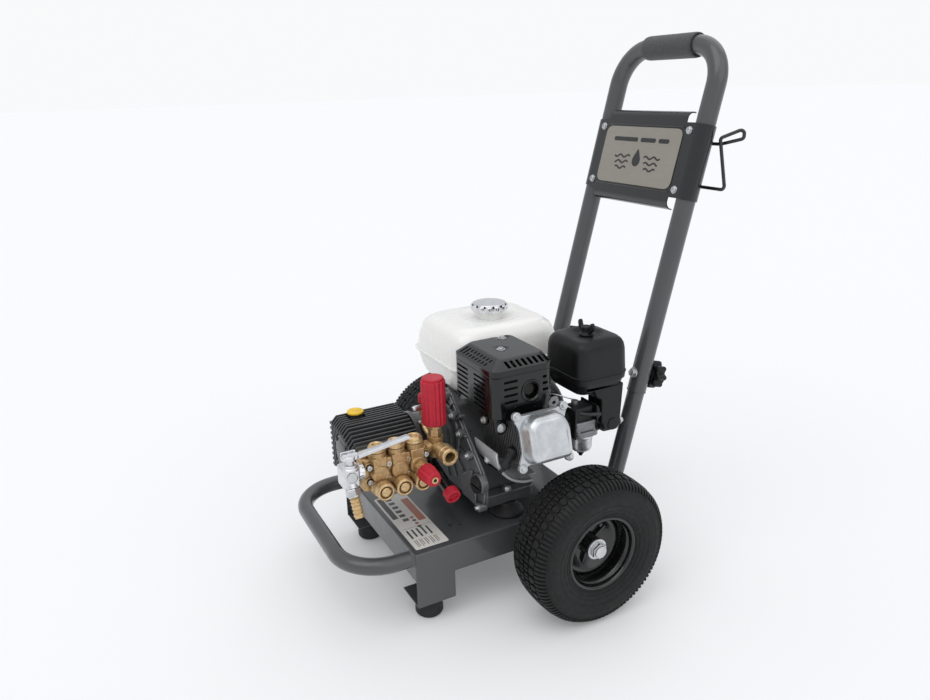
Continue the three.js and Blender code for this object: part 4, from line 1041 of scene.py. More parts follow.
CRANK = Vector((15, 0, 272))
TILT = 13.5
BLOCK = {"front": 146, "rear": 258, "base": 165, "base_top": 185}
HEAD = {"start": 76, "end": 207, "y": 217, "half_y": 38, "half_w": 42, "fin_top": 30}
ON_CYLINDER = spun(CRANK, -TILT, "Y")
OIL_PLUG = Vector((147, 0, 223))


def make_engine_block():
    """Crankcase with its wide base flange and bolts."""
    front, rear, base, base_top = BLOCK.values()
    outline = rounded([(-70, base_top - 4), (-70, 285), (-46, 330), (50, 331), (100, 262),
                       (116, base_top - 4)], 9)
    form = Form().prism(outline, "y", front, rear, 2)
    form.box((-60, front, base), (138, rear - 4, base_top + 1), 2.5, 10)
    for z in (205, 235, 265):
        form.box((-73, front + 6, z), (-66, rear - 6, z + 4), 1.2)
    form.use(1)
    for _, x, y in MOUNTS:
        form.bolt((x, y, base_top + 1), Z, 6.5, 5, washer=9)
    for z, y in ((210, 165), (210, 240), (300, 165), (300, 240)):
        form.bolt((-70, y, z), -X, 5.5, 4, washer=7)
    piece("engine_block", form, ENGINE_GREY, ZINC)


def make_crankcase_cover():
    """Side cover with its gasket edge, ribs, bolted bosses and filler boss."""
    rear = BLOCK["front"] - 0.3
    outline = rounded([(-76, 190), (-78, 300), (-46, 340), (30, 352), (62, 326), (118, 272), (152, 240),
                       (162, 200), (146, 168), (118, 168), (96, 190)], 12)
    form = Form().prism(outline, "y", 138.4, rear, 2.2)
    form.prism(inset(outline, -3), "y", rear - 3.5, rear, 0.8)
    form.lathe(eased([(0, 0), (62, 0), (62, 12), (0, 12)], 3), CRANK + Y * 134.4, Y, 72)
    for degrees in range(-82, 262, 24):
        reach = 88 if degrees < 40 else 74
        form.add(Form(spun(CRANK, -degrees, "Y")).box((52, 134.6, -2.2), (reach, rear, 2.2), 1.1))
    form.bar(OIL_PLUG + Y * 132, OIL_PLUG + Y * rear, 18.5, 2, 40)
    form.prism(rounded([(84, 176), (84, 214), (122, 240), (136, 196), (136, 176)], 6), "y", 134, rear, 2)
    bosses = ((-62, 206), (-62, 314), (-20, 340), (30, 344), (60, 318), (85, 293), (115, 264), (150, 180))
    for x, z in bosses:
        form.use(0).bar((x, 131, z), (x, rear, z), 8.5, 1, 28)
        form.use(1).bolt((x, 131.2, z), -Y, 4.6, 4, washer=6.4)
    piece("crankcase_cover", form, ENGINE_GREY, ZINC)


def make_cylinder_head():
    """Finned cylinder, and the plate that the valve cover sits on."""
    start, end, centre, half_y, half_w, fin_top = HEAD.values()
    y0, y1 = centre - half_y, centre + half_y
    form = Form(ON_CYLINDER)
    form.box((start, y0 + 10, -half_w + 10), (end, y1 - 10, fin_top - 8), 2)
    u = start + 3
    while u < end - 8:
        form.box((u, y0, -half_w), (u + 2.2, y1, fin_top), 0.8, 0.9)
        u += 6
    form.use(1).box((end - 7, y0 - 1, -half_w - 1), (end, y1 + 1, half_w + 1), 1.6, 3)
    form.box((end - 30, y0 + 2, -half_w + 4), (end - 6, y0 + 16, 14), 3, 5)
    piece("cylinder_head", form, FIN_GREY, CARB_GREY)


def valve_outline(shrink):
    """The rocker box from above: wide rounded shoulders at the top, one corner cut at the bottom."""
    shape = [(-41, -26), (-32, -39), (33, -39), (41, -30), (41, 20), (30, 42), (-24, 42), (-41, 28)]
    return inset(rounded(shape, 14, steps=7), shrink)


def make_valve_cover():
    """Bolted flange under a dome whose upper third leans back."""
    centre, seat = HEAD["y"], HEAD["end"] + 0.3
    form = Form(ON_CYLINDER)
    corners = ((-46, -44), (46, -44), (46, 44), (-46, 44))
    flange = rounded([(0, -43), (34, -40), (45, -47), (51, -37), (43, -20), (43, 20), (50, 36), (46, 46),
                      (34, 42), (-34, 42), (-46, 46), (-50, 36), (-43, 20), (-43, -20), (-51, -37),
                      (-45, -47), (-34, -40)], 6)
    form.prism([Vector((centre + p.x, p.y)) for p in flange], "x", seat, seat + 6, 1.2)
    sections = ((4, 0), (7.2, 0.2), (8.4, 1.6), (26, 3), (30, 4), (33, 6), (35, 9), (36, 13))
    loops = []
    for height, shrink in sections:
        ring = []
        for p in valve_outline(shrink):
            back = 7 * max(0, (p.y - 8) / 36) * height / 36
            ring.append((seat + height - back, centre + p.x, p.y))
        loops.append(ring)
    form.skin(loops)
    for y, w in corners:
        middle = (seat + 5.5, centre + y * 0.98, w * 0.98)
        form.use(0).bar((seat, *middle[1:]), (seat + 8.4, *middle[1:]), 7.6, 1.2, 32)
        form.use(1).bolt((seat + 8, *middle[1:]), X, 4.8, 3.6, washer=6)
    piece("valve_cover", form, ALUMINIUM, ZINC, crease=50)


GUARD = {"x": (44, 184), "y": (146, 262), "z": (351, 443.5), "run": 26, "drop": 11, "wall": 3}
OUTLET = Vector((184, 218, 390))


def level_loop(x, y, z, corner, steps=8):
    """A rounded rectangle at height z, between the two x and the two y values."""
    outline = rectangle(x[1] - x[0], y[1] - y[0], corner, steps)
    return [(p.x + sum(x) / 2, p.y + sum(y) / 2, z) for p in outline]


def make_muffler_guard():
    """Slotted guard with chamfered front and outer edges, two screw dishes and the outlet ring."""
    (x0, x1), (y0, y1), (z0, z1) = GUARD["x"], GUARD["y"], GUARD["z"]
    run, drop, wall = GUARD["run"], GUARD["drop"], GUARD["wall"]
    lip = z1 - drop

    def level(z, shrink, run_in=0, corner=9):
        return level_loop((x0 + shrink, x1 - shrink - run_in), (y0 + shrink + run_in, y1 - shrink), z, corner)

    rows = ((z0, 0, 0, 14), (lip - 11, 0, 0, 14), (lip - 10.2, 0.9, 0, 14), (lip - 8.8, 0.9, 0, 14),
            (lip - 8, 0, 0, 14), (lip - 1, 0, 0, 13), (lip + 0.4, 0.6, 0, 12), (lip + 1.2, 1.6, 0.8, 11),
            (z1 - 1.2, 2, run - 3, 11), (z1 - 0.3, 2.6, run - 0.6, 10), (z1, 4, run + 1, 9))
    outside = Form().skin([level(*row) for row in rows])
    rows = ((z0 - 9, wall, 0, 11), (lip - 3, wall, 0, 11), (z1 - wall, wall + 2, run, 8))
    inside = Form().skin([level(*row) for row in rows])
    slots = Form()
    for row in range(7):
        z = z0 + 10 + row * 8.4
        for left in (x0 + 14, x0 + 74):
            slots.box((left, y0 - 4, z), (left + 40, y0 + wall + 3, z + 3.6), 1.4, 1.4)
    for row in range(5):
        z = z0 + 13 + row * 11.7
        slots.box((x1 - wall - 4, y0 + 20, z), (x1 + 4, y0 + 46, z + 4.4), 1.8, 1.8)
    for row in range(3):
        z = z0 + 34 + row * 11.3
        slots.box((x1 - wall - 4, 240, z), (x1 + 4, 252 - 2 * row, z + 4.6), 1.8, 1.8)
    slots.bar(OUTLET - X * 14, OUTLET + X * 6, 14, 0.2, 48)
    slope = math.atan2(drop, run)
    for column in range(8):
        lean = Matrix.Rotation(slope, 4, "Y")
        slots.place = Matrix.Translation((x1 - run / 2, y0 + run + 8.5 + column * 10.6, z1 - drop / 2)) @ lean
        slots.box((-9, -2.9, -9), (9, 2.9, 9), 1.2)
    for column in range(9):
        lean = Matrix.Rotation(slope, 4, "X")
        slots.place = Matrix.Translation((x0 + 18 + column * 10.4, y0 + run / 2, z1 - drop / 2)) @ lean
        if column < 2:
            slots.box((-2.2, -9, -9), (2.2, 9, 9), 1)
        else:
            slots.box((-2, -9, -9), (2, -1.8, 9), 1)
            slots.box((-2, 1.8, -9), (2, 9, 9), 1)
    dishes = Form()
    screws = ((56, 238), (108, 205))
    for x, y in screws:
        dishes.lathe([(0, -2), (10, -2), (14.5, -0.3), (17, 2.5), (0, 2.5)], (x, y, z1), Z, 48)
    form = carve(outside, inside, slots, dishes)
    ring = [(14, -3), (17.4, -3), (18.6, -0.6), (19.6, 0.4), (19, 1.8), (17, 2.2), (15.4, 1.4), (14, -0.6)]
    form.ring(ring, OUTLET, X, 56)
    ear = Vector((x1 - 3, y0 + 15, 335.5))
    form.bar(ear - X * 6, ear + X * 1.4, 12.4, 1.2, 40)
    form.box((ear.x - 5, y0 + 3, 336), (ear.x, y0 + 27, z0 + 3), 1.4, 3)
    form.bar((150, y0 + 0.5, 341), (150, y0 + 6, 341), 9, 1, 32)
    form.box((141, y0 + 1, 341), (159, y0 + 4, z0 + 3), 1.2, 1)
    form.use(1)
    for x, y in screws:
        form.bolt((x, y, z1 - 2), Z, 4.8, 3, washer=7.4, socket=True)
    form.bolt(ear + X * 1.4, X, 5.6, 4.4, washer=8)
    form.bolt((150, y0 + 0.5, 341), -Y, 4.6, 4, washer=6.4)
    # three small dark discs on the outer face: painted shade
    form.use(2)
    for y, z in ((204, 404), (232, 372), (226, 360)):
        form.bar((x1 - 0.6, y, z), (x1 + 0.15, y, z), 1.3, 0.05, 16)
    piece("muffler_guard", form, GUARD_PLASTIC, ZINC, SHADE_FILL, crease=28)


TANK = {"x": (-172, 38), "y": (158, 392), "seam": 382}
FILLER = Vector((-70, 284, 450))


def make_fuel_tank():
    """Two pressed halves with a seam between them, a filler dish and rubber feet."""
    (x0, x1), (y0, y1) = TANK["x"], TANK["y"]
    seam = TANK["seam"]

    def level(z, shrink, corner, far=0):
        return level_loop((x0 + shrink + far, x1 - shrink), (y0 + shrink, y1 - shrink), z, corner, 10)

    lower = ((335, 24, 20, 44), (335.5, 17, 24, 40), (338, 11, 27, 34), (344, 8, 28, 24),
             (353, 6.4, 29, 14), (364, 5.6, 30, 6), (376, 5, 30, 1), (seam, 4.6, 30))
    upper = ((392, 4.8, 30), (408, 6.2, 31), (422, 8.8, 32), (431, 11.4, 33), (438.6, 15.4, 34),
             (444.2, 20.4, 35), (447.8, 26.4, 36), (449.6, 34, 36), (450, 44, 34))
    shell = Form().skin([level(*row) for row in lower + upper])
    dish = Form().lathe([(0, -6.5), (38, -6.5), (47, -5), (56, -2.2), (64, 0.3), (67, 6), (0, 6)], FILLER,
                        Z, 96)
    form = carve(shell, dish)
    bead = ((-2.4, 3, 30), (-2, 0.8, 31), (-1.4, 0, 31), (1.4, 0, 31), (2, 0.8, 31), (2.4, 3, 30))
    form.skin([level(seam + rise, shrink, corner) for rise, shrink, corner in bead])
    form.bar(FILLER - Z * 8, FILLER + Z * 5.8, 25, 1, 56)
    form.use(1)
    for x in (x0 + 52, x1 - 20):
        for y in (y0 + 42, y1 - 42):
            form.bar((x, y, 322), (x, y, 340), 6, 0.8, 24)
    piece("fuel_tank", form, TANK_WHITE, RUBBER, crease=50)


def make_fuel_cap():
    """Lobed bright cap."""
    base = FILLER + Z * 6.3
    form = Form().knob(lobed(35.6, 3.4, 12, 10, 1.6), base + Z * 1.6, Z, 12.4, 2.4)
    form.bar(base, base + Z * 3, 32.4, 1, 64)
    top = eased([(0, 12), (30.5, 12), (32.5, 14), (31, 16), (26, 16.6), (0, 16.9)], 1.2)
    form.lathe(top, base, Z, 72)
    # dark bars in the grooves between the lobes: painted shade
    for i in range(12):
        degrees = 30 * (i + 0.5)
        notch = on_circle(base + Z * 12.4, 30.6, degrees, "Z")
        tip = on_circle(base + Z * 13.6, 33, degrees, "Z")
        form.use(1).bar(notch, tip, 2.2, 0.4, 12)
    form.use(0).bar(base - Z * 13, base + Z, 17, 0.8, 40)
    piece("fuel_cap", form, CHROME, SHADE_FILL)


AIR = {"x": (72, 186), "y": (313, 421), "bottom": 352, "seam": 384, "top": 450}
AIR_STUD = Vector((129, 367, 450))


def air_level(z, shrink, corner):
    """A level of the air cleaner, drawn in by shrink."""
    (x0, x1), (y0, y1) = AIR["x"], AIR["y"]
    return level_loop((x0 + shrink, x1 - shrink), (y0 + shrink, y1 - shrink), z, corner, 9)


def make_air_cleaner_cover():
    """Crowned lid with a dish for the wing nut."""
    seam, top = AIR["seam"], AIR["top"]
    rows = ((seam, 0.4, 17), (seam + 0.6, -0.8, 18), (seam + 3, -0.9, 18), (seam + 3.8, 0.2, 18),
            (top - 22, 1.8, 18), (top - 13, 3, 19), (top - 7, 5.6, 20), (top - 3, 9.6, 20),
            (top - 0.8, 15, 19), (top, 22, 17))
    cover = Form().skin([air_level(*row) for row in rows])
    dish = Form().lathe([(0, -7), (17, -7), (23, -5.2), (28, -2), (32, 0.6), (33, 5), (0, 5)], AIR_STUD, Z,
                        72)
    hole = Form().bar(AIR_STUD - Z * 70, AIR_STUD + Z * 9, 4.6, 0.1, 24)
    form = carve(cover, dish, hole)
    piece("air_cleaner_cover", form, BLACK_PLASTIC, crease=40)


def make_air_cleaner_base():
    """Tray with its stud, and the elbow down to the carburetor."""
    seam, bottom = AIR["seam"], AIR["bottom"]
    rows = ((bottom, 16, 14), (bottom + 1.5, 11, 15), (bottom + 6, 7.4, 16), (seam - 11, 3, 17),
            (seam - 10, 1, 17), (seam - 0.9, 0.2, 17), (seam - 0.3, 0.8, 17))
    form = Form().skin([air_level(*row) for row in rows])
    elbow = rounded([(330, 364), (348, 360), (354, 346), (365, 340), (366, 282), (372, 277), (402, 276),
                     (408, 284), (413, 364)], 4)
    form.prism(elbow, "x", 140, 181, 3)
    form.bar((170, 392, 289), (182.4, 392, 289), 11.5, 0.8, 40)
    form.bar(AIR_STUD - Z * 68, AIR_STUD + Z * 12, 4, 0.8, 24)
    form.use(1).bar((176, 402, 290), (176, 416, 290), 4.6, 0.8, 6)
    form.bar((176, 408, 290), (176, 410.4, 290), 7, 0.5, 32)
    piece("air_cleaner_base", form, BLACK_PLASTIC, ZINC, crease=36)


def make_wing_nut():
    """Round nut with two ears."""
    base = AIR_STUD - Z * 4.7
    nut = [(4.3, 0), (13, 0), (13, 3), (10.5, 5), (9.4, 8), (9.4, 15.6), (8, 17), (4.3, 17)]
    form = Form().ring(rounded(nut, 0.8), base, Z, 40)
    for side in (1, -1):
        ear = rounded([(7, 3), (14, 5), (20.5, 13), (21.5, 22), (18.5, 25.6), (14.5, 24.4), (12.5, 17),
                       (8, 14)], 3)
        form.place = Matrix.Translation(base) @ Matrix.Scale(side, 4, X)
        form.prism(ear, "y", -3, 3, 1.2)
        form.place = Matrix.Identity(4)
    piece("air_cleaner_nut", form, BLACK_PLASTIC)


def make_carburetor():
    """Body and float bowl between two gaskets, with the hoses, wires and linkage plate beside it."""
    form = Form().box((152, 302, 288), (193, 347, 312), 3, 5)
    form.box((155, 302, 284), (197, 350, 294), 1.6, 8)
    form.use(3).bar((168, 255.3, 316), (168, 361.6, 316), 15.5, 1, 40)
    form.box((154, 304, 309), (188, 344, 337), 3, 6)
    form.box((143, 297, 286), (198, 301.5, 340), 1.2, 2)
    form.box((146, 345, 288), (194, 349, 338), 1.2, 2)
    form.use(0)
    form.bar((148, 318, 306), (139, 318, 306), 5, 0.8, 24)
    form.bar((166, 318, 336), (166, 318, 345), 6, 0.8, 24)
    bowl = eased([(0, 252), (9, 252), (16, 254.5), (19, 260), (19.4, 279), (21.6, 280), (21.6, 285),
                  (0, 285)], 2.4)
    form.use(1).lathe(bowl, (176, 326, 0), Z, 56)
    form.use(3).bar((176, 326, 245.5), (176, 326, 253), 6, 1, 6)
    form.bar((176, 326, 241.5), (176, 326, 246), 3.4, 1, 20)
    form.use(1)
    for x, y in ((160, 310), (192, 310), (160, 342), (192, 342)):
        form.bolt((x, y, 293.5), Z, 3, 2.4)
    for y, z in ((306, 300), (338, 300)):
        form.bolt((190, y, z), X, 3.2, 2.4, socket=True)
    form.pipe(smooth_line([(144, 296, 331), (150, 286, 339), (166, 292, 344), (186, 304, 336)], 6), 1.3, 10)
    form.pipe(smooth_line([(110, 300, 341), (128, 302, 346), (146, 316, 343), (164, 330, 340)], 6), 1.3, 10)
    plate = rounded([(-13, 0), (-3, 12), (9, 13), (13, 2), (4, -11), (-8, -12)], 2.5)
    plate = carve(Form().prism([(262 + p.x, 356 + p.y) for p in plate], "x", 180, 182.4, 0.6),
                  Form().bar((170, 264, 358), (190, 264, 358), 3.6, 0.1, 24))
    plate.bar((178, 256, 350), (184.5, 256, 350), 4.6, 0.6, 6)
    plate.bar((168, 262, 330), (181, 262, 352), 2.2, 0.4, 12)
    form.add(plate)
    form.use(2)
    form.pipe(smooth_line([(70, 296, 338), (110, 284, 337), (150, 282, 333), (176, 292, 318),
                           (184, 302, 300)], 8), 4.4, 18)
    form.pipe(smooth_line([(146, 312, 322), (168, 298, 330), (190, 322, 326), (196, 352, 322)], 8), 3.2, 16)
    form.box((150, 282, 290), (176, 296, 330), 2, 4)
    piece("carburetor", form, CARB_GREY, ALUMINIUM, HOSE, BLACK_PLASTIC)


def make_shroud():
    """Curved silver sheet round the lower fins."""
    outer = arc((HEAD["y"], 292), 66, 180, 274, 26)
    form = Form().prism(band(outer, 2), "x", 108, 184, 0.7)
    form.prism(band(arc((HEAD["y"], 292), 67, 180, 274, 26), 4), "x", 174, 186, 1.2)
    form.box((116, 214, 224.6), (168, 238, 227), 0.8, 4)
    middle = Vector((134, HEAD["y"], 292))
    seat = on_circle(middle, 66.8, 212, "X")
    form.bolt(seat, seat - middle, 5, 3.4, washer=8)
    piece("cylinder_shroud", form, SHEET_STEEL)


BLOWER = {"front": 258.3, "rear": 326, "top": 332}


def make_blower():
    """Open drum round the flywheel, cut flat below the tank."""
    front, rear, top = BLOWER.values()
    drum = Form().lathe(eased([(0, front), (91, front), (96, front + 8), (96, rear), (0, rear)], 3),
                        CRANK, Y, 96)
    hollow = Form().bar(CRANK + Y * (front + 3), CRANK + Y * (rear + 9), 93, 0.2, 96)
    above = Form().box((-150, front - 9, top), (150, rear + 9, 420), 0.2)
    form = carve(drum, hollow, above)
    form.box((-49, front, top - 3.6), (79, rear, top - 0.2), 1)
    form.box((60, 288, top - 2), (80, 299.7, 350), 1.5)
    for degrees in (200, 235, 270, 305, 340):
        spot = on_circle(CRANK, 97, degrees)
        form.bar(spot + Y * (rear - 16), spot + Y * rear, 5.5, 0.8, 24)
    piece("blower_housing", form, BLACK_PLASTIC)


def make_recoil_cover():
    """Slotted bell over the starter, with its flange and rope outlet."""
    start, end = BLOWER["rear"] + 0.3, 372
    shell = [(0, end), (40, end), (50, end - 2), (57, end - 9), (60, end - 18), (60, start), (56.5, start),
             (56.5, end - 20), (53, end - 11), (46, end - 5), (38, end - 3), (0, end - 3)]
    cover = Form().lathe(shell, CRANK, Y, 96)
    slots = Form()
    for i in range(16):
        turn = Matrix.Rotation(math.tau * (i + 0.5) / 16, 4, "Y")
        slots.place = Matrix.Translation(CRANK + Y * 352) @ turn
        slots.box((24, 5, -2.6), (46, 30, 2.6), 1.6)
    outlet = Form().bar(CRANK + Vector((-74, 344, 0)), CRANK + Vector((-46, 344, 0)), 4.5, 0.1, 24)
    form = carve(cover, slots, outlet)
    flange = Form().ring([(56.6, start), (95, start), (95, start + 1), (94, start + 3), (56.6, start + 3)],
                          CRANK, Y, 96)
    form.add(carve(flange, Form().box((-150, 300, BLOWER["top"]), (150, 390, 420), 0.2)))
    form.lathe(eased([(0, end - 1), (17, end - 1), (17, end + 1.6), (0, end + 1.6)], 1.2), CRANK, Y, 48)
    form.ring([(4.6, 0), (8.6, 0), (8.6, 3.4), (4.6, 3.4)], CRANK + Vector((-59, 344, 0)), -X, 32)
    form.use(1)
    for degrees in (215, 325, 30, 150):
        spot = on_circle(CRANK + Y * (start + 3), 78, degrees)
        if spot.z < BLOWER["top"] - 8:
            form.bolt(spot, Y, 5, 4, washer=7.5)
    piece("recoil_cover", form, BLACK_PLASTIC, ZINC)


def make_recoil_grip():
    """The pull grip, and the rope that it draws out of the starter."""
    outlet = CRANK + Vector((-60, 344, 0))
    middle = outlet - X * 22
    grip = [(0, -14), (6, -14), (7.6, -8), (6.8, 2), (7.4, 11), (6.8, 24), (7.8, 32), (6, 36), (0, 36)]
    form = Form().lathe(eased(grip, 3), middle, Y, 40)
    form.bar(outlet - X * 4.5, middle, 6.4, 1.4, 32)
    piece("recoil_grip", form, BLACK_PLASTIC)
    start, end = outlet + X * 10, outlet - X * 8
    count = 60
    line = [start.lerp(end, i / count) for i in range(count + 1)]
    rope = place_piece("starter_rope", Form().pipe(line, 2.3, 12), (HOSE,), None)
    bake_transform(rope)


def make_dipstick():
    """Slotted oil plug with a knurled rim."""
    body = Form().bar(OIL_PLUG + Y * 125.5, OIL_PLUG + Y * 137, 14.5, 1.6, 48)
    form = carve(body, Form().box((130, 118, 221.2), (164, 128.6, 224.8), 0.6))
    for i in range(16):
        spot = on_circle(OIL_PLUG + Y * 128, 14.2, 22.5 * i)
        form.bar(spot, spot + Y * 8, 1.5, 0.6, 10)
    form.bar(OIL_PLUG + Y * 136, OIL_PLUG + Y * 143, 9, 0.8, 32)
    piece("oil_dipstick", form, BLACK_PLASTIC)


def make_spark_plug_boot():
    """Rubber boot and the ignition lead."""
    base = Vector((193, HEAD["y"] - HEAD["half_y"] - 1.5, 298))
    axis = Vector((0, -0.5, -0.866))
    profile = eased([(0, 0), (9, 0), (9.4, 6), (7, 10), (7, 22), (8.6, 25), (8.6, 32), (6, 36), (0, 36)], 2)
    form = Form().lathe(profile, base, axis, 40)
    lead = smooth_line([base + axis * 36, base + axis * 46 + Vector((-8, 2, 0)), (160, 172, 244),
                        (120, 164, 250), (96, 160, 280)], 8)
    form.pipe(lead, 3.4, 16)
    piece("spark_plug_boot", form, RUBBER)


def make_engine_levers():
    """Throttle and choke levers on their pivots."""
    levers = (("throttle_lever", Vector((70, 303, 342)), 34, 68, ZINC),
              ("choke_lever", Vector((186, 349.3, 296)), 26, 20, BLACK_PLASTIC))
    for node, pivot, length, degrees, material in levers:
        form = Form(spun(pivot, -degrees, "Y"))
        outline = rounded([(-5, -5.5), (length * 0.6, -4), (length, -5.5), (length, 5.5), (length * 0.6, 4),
                           (-5, 5.5)], 3)
        form.prism(outline, "y", 0, 4, 1)
        form.bar((0, -2.8, 0), (0, 6.6, 0), 8, 1, 32)
        form.bar((0, 6, 0), (0, 9, 0), 4, 0.6, 6)
        piece(node, form, material)


make_engine_block()
make_crankcase_cover()
make_cylinder_head()
make_valve_cover()
make_muffler_guard()
make_fuel_tank()
make_fuel_cap()
make_air_cleaner_cover()
make_air_cleaner_base()
make_wing_nut()
make_carburetor()
make_shroud()
make_blower()
make_recoil_cover()
make_recoil_grip()
make_dipstick()
make_spark_plug_boot()
make_engine_levers()


# ---- pump -----------------------------------------------------------------------------------

COLUMNS = (-27, 6.5, 40)
OIL_FILLER = Vector((-22, -17, 325.3))
UNLOADER = Vector((83, 87, 283))
RELIEF = Vector((49, 82, 0))
INJECTOR = Vector((108, 42, 268))


def pump_top(x):
    """Height of the pump casting's roof: level on the far side, falling towards the manifold."""
    return 320 - 18 * max(0, x - 18) / 46


def make_pump_crankcase():
    """Finned pump casting with its end cap and filler boss."""
    outline = rounded([(-42, 219), (64, 219), (64, 302), (18, 318), (-44, 317), (-51, 306), (-51, 230)], 4)
    form = Form().prism(outline, "y", -50, 65.7, 2.5)
    for i in range(12):
        x = -38 + 8.6 * i
        top = pump_top(x) + 4
        beside = abs(x - CRANK.x)
        low = CRANK.z + math.sqrt(37 ** 2 - beside ** 2) if beside < 37 else 232
        low = min(low, top - 14)
        fin = [(-58, low), (-58, top - 11), (-48, top), (63, top), (63, top - 12), (-46, top - 12),
               (-46, low)]
        if abs(x - OIL_FILLER.x) < 14:
            edge = OIL_FILLER.y + 14
            form.prism(rounded([(edge, top - 12), (edge, top), (63, top), (63, top - 12)], 1), "x", x,
                       x + 3.6, 0.9)
            fin = [(-58, low), (-58, top - 11), (-48, top), (-32, top), (-32, top - 12), (-46, top - 12),
                   (-46, low)]
        form.prism(rounded(fin, 1), "x", x, x + 3.6, 0.9)
    for i in range(9):
        z = 224 + 10 * i
        form.box((-55, -56, z), (-40, 62, z + 4.2), 1, 3)
    form.lathe([(0, -61), (24, -61), (26, -60), (28, -58.6), (33, -58.4), (35.4, -56.5), (36, -49), (0, -49)],
               (CRANK.x, 0, CRANK.z), Y, 72)
    form.bar((OIL_FILLER.x, OIL_FILLER.y, 306), (OIL_FILLER.x, OIL_FILLER.y, 324.6), 13, 1, 40)
    form.box((60, -48, 230), (69.6, 58, 300), 1.6, 6)
    form.use(1)
    for degrees in range(0, 360, 90):
        spot = on_circle((CRANK.x, -58.4, CRANK.z), 30.6, degrees + 45)
        form.bolt(spot, -Y, 3.4, 2.8, socket=True)
    form.use(2).bar((-48, 10, 224), (-60, 10, 224), 7, 0.8, 6)
    piece("pump_crankcase", form, BLACK_SATIN, BLACK_GLOSS, BRASS)


def make_pump_flange():
    """Bell housing between the pump and the engine."""
    ring = [(16, 66.3), (49, 66.3), (49, 75), (44, 77.5), (44, 121), (50, 127), (50, 134.7), (30, 134.7),
            (30, 76.3), (16, 76.3)]
    form = Form().ring(rounded(ring, 0.9), (CRANK.x, 0, CRANK.z), Y, 72)
    for degrees in range(45, 405, 90):
        turn = spun((CRANK.x, 0, CRANK.z), degrees, "Y")
        form.place = turn
        form.use(0).box((42, 80, -3), (49, 128, 3), 1.2)
        form.use(1).bolt((46, 76, 8), Y, 4, 3.6, socket=True)
    form.place = Matrix.Identity(4)
    piece("pump_flange", form, BLACK_SATIN, ZINC)


def make_pump_manifold():
    """Cast brass head with three columns, its bolts and the injector fitting."""
    form = Form().box((70, -54, 239), (104, 64, 297), 3, 7)
    for y in COLUMNS:
        form.bar((99, y, 250), (99, y, 307.8), 15.5, 1.6, 48)
        form.prism(rounded([(y - 9, 258), (y + 9, 258), (y + 13, 300), (y - 13, 300)], 3), "x", 104, 115.2,
                   2.4)
        form.lathe(eased([(0, 104), (16, 104), (15, 115), (13.6, 117.4), (0, 117.8)], 1.4),
                   (0, y, 271), X, 48)
        form.lathe(eased([(0, 96), (17.4, 96), (17.4, 112), (15.4, 115), (15.4, 122), (0, 122)], 1.4),
                   (0, y, 247), X, 48)
    for low, high in zip(COLUMNS, COLUMNS[1:]):
        y = (low + high) / 2
        form.box((100, y - 6.4, 262), (111, y + 6.4, 296), 2.2, 2.4)
        form.box((88, y - 8, 236.5), (112, y + 8, 262), 2.6, 3)
    form.box((72, -51, 295), (96, 60, 302), 2.4, 5)
    form.box((76, -55, 246), (98, -50, 290), 2, 3)
    form.box((80, -58, 252), (94, -50, 262), 1.6, 2)
    bolts = [(y, z) for y in (-44, -10, 24, 57) for z in (258, 284)]
    for y, z in bolts:
        form.use(0).bar((96, y, z), (106.6, y, z), 8, 1.2, 32)
        # dark disc round each bolt in its boss: painted shade
        form.use(3).bar((100, y, z), (107, y, z), 6, 0.2, 32)
        form.use(2).bolt((106.6, y, z), X, 4.6, 4.6, socket=True)
    form.use(1).bar((INJECTOR.x - 4, INJECTOR.y, INJECTOR.z), (136.6, INJECTOR.y, INJECTOR.z), 13, 1.4, 6)
    form.bar((134, INJECTOR.y, INJECTOR.z), (150, INJECTOR.y, INJECTOR.z), 5, 0.6, 32)
    form.bar((64, -47, 270), (76, -47, 270), 6, 0.8, 24)
    piece("pump_manifold", form, BRASS, TURNED_BRASS, ZINC, SHADE_FILL)


def make_valve_plugs():
    """Three discharge plugs on top and three suction plugs in front."""
    for number, y in enumerate(COLUMNS, 1):
        plug = eased([(0, 0), (15, 0), (15, 3), (14, 4), (14, 7), (11.6, 10.6), (8.4, 11.2), (6.6, 9.6),
                      (6, 7.4), (0, 7.2)], 0.7)
        form = Form().lathe(plug, (99, y, 308.3), Z, 56)
        piece(f"discharge_plug_{number}", form, TURNED_BRASS)
        plug = eased([(0, 0), (15.5, 0), (15.5, 9), (14.6, 12), (12.4, 13), (10.9, 12.4), (10.2, 9),
                      (8.8, 8.6), (8.2, 11.2), (6.8, 12.2), (0, 12.4)], 0.6)
        form = Form().lathe(plug, (122.3, y, 247), X, 56)
        piece(f"suction_plug_{number}", form, TURNED_BRASS)


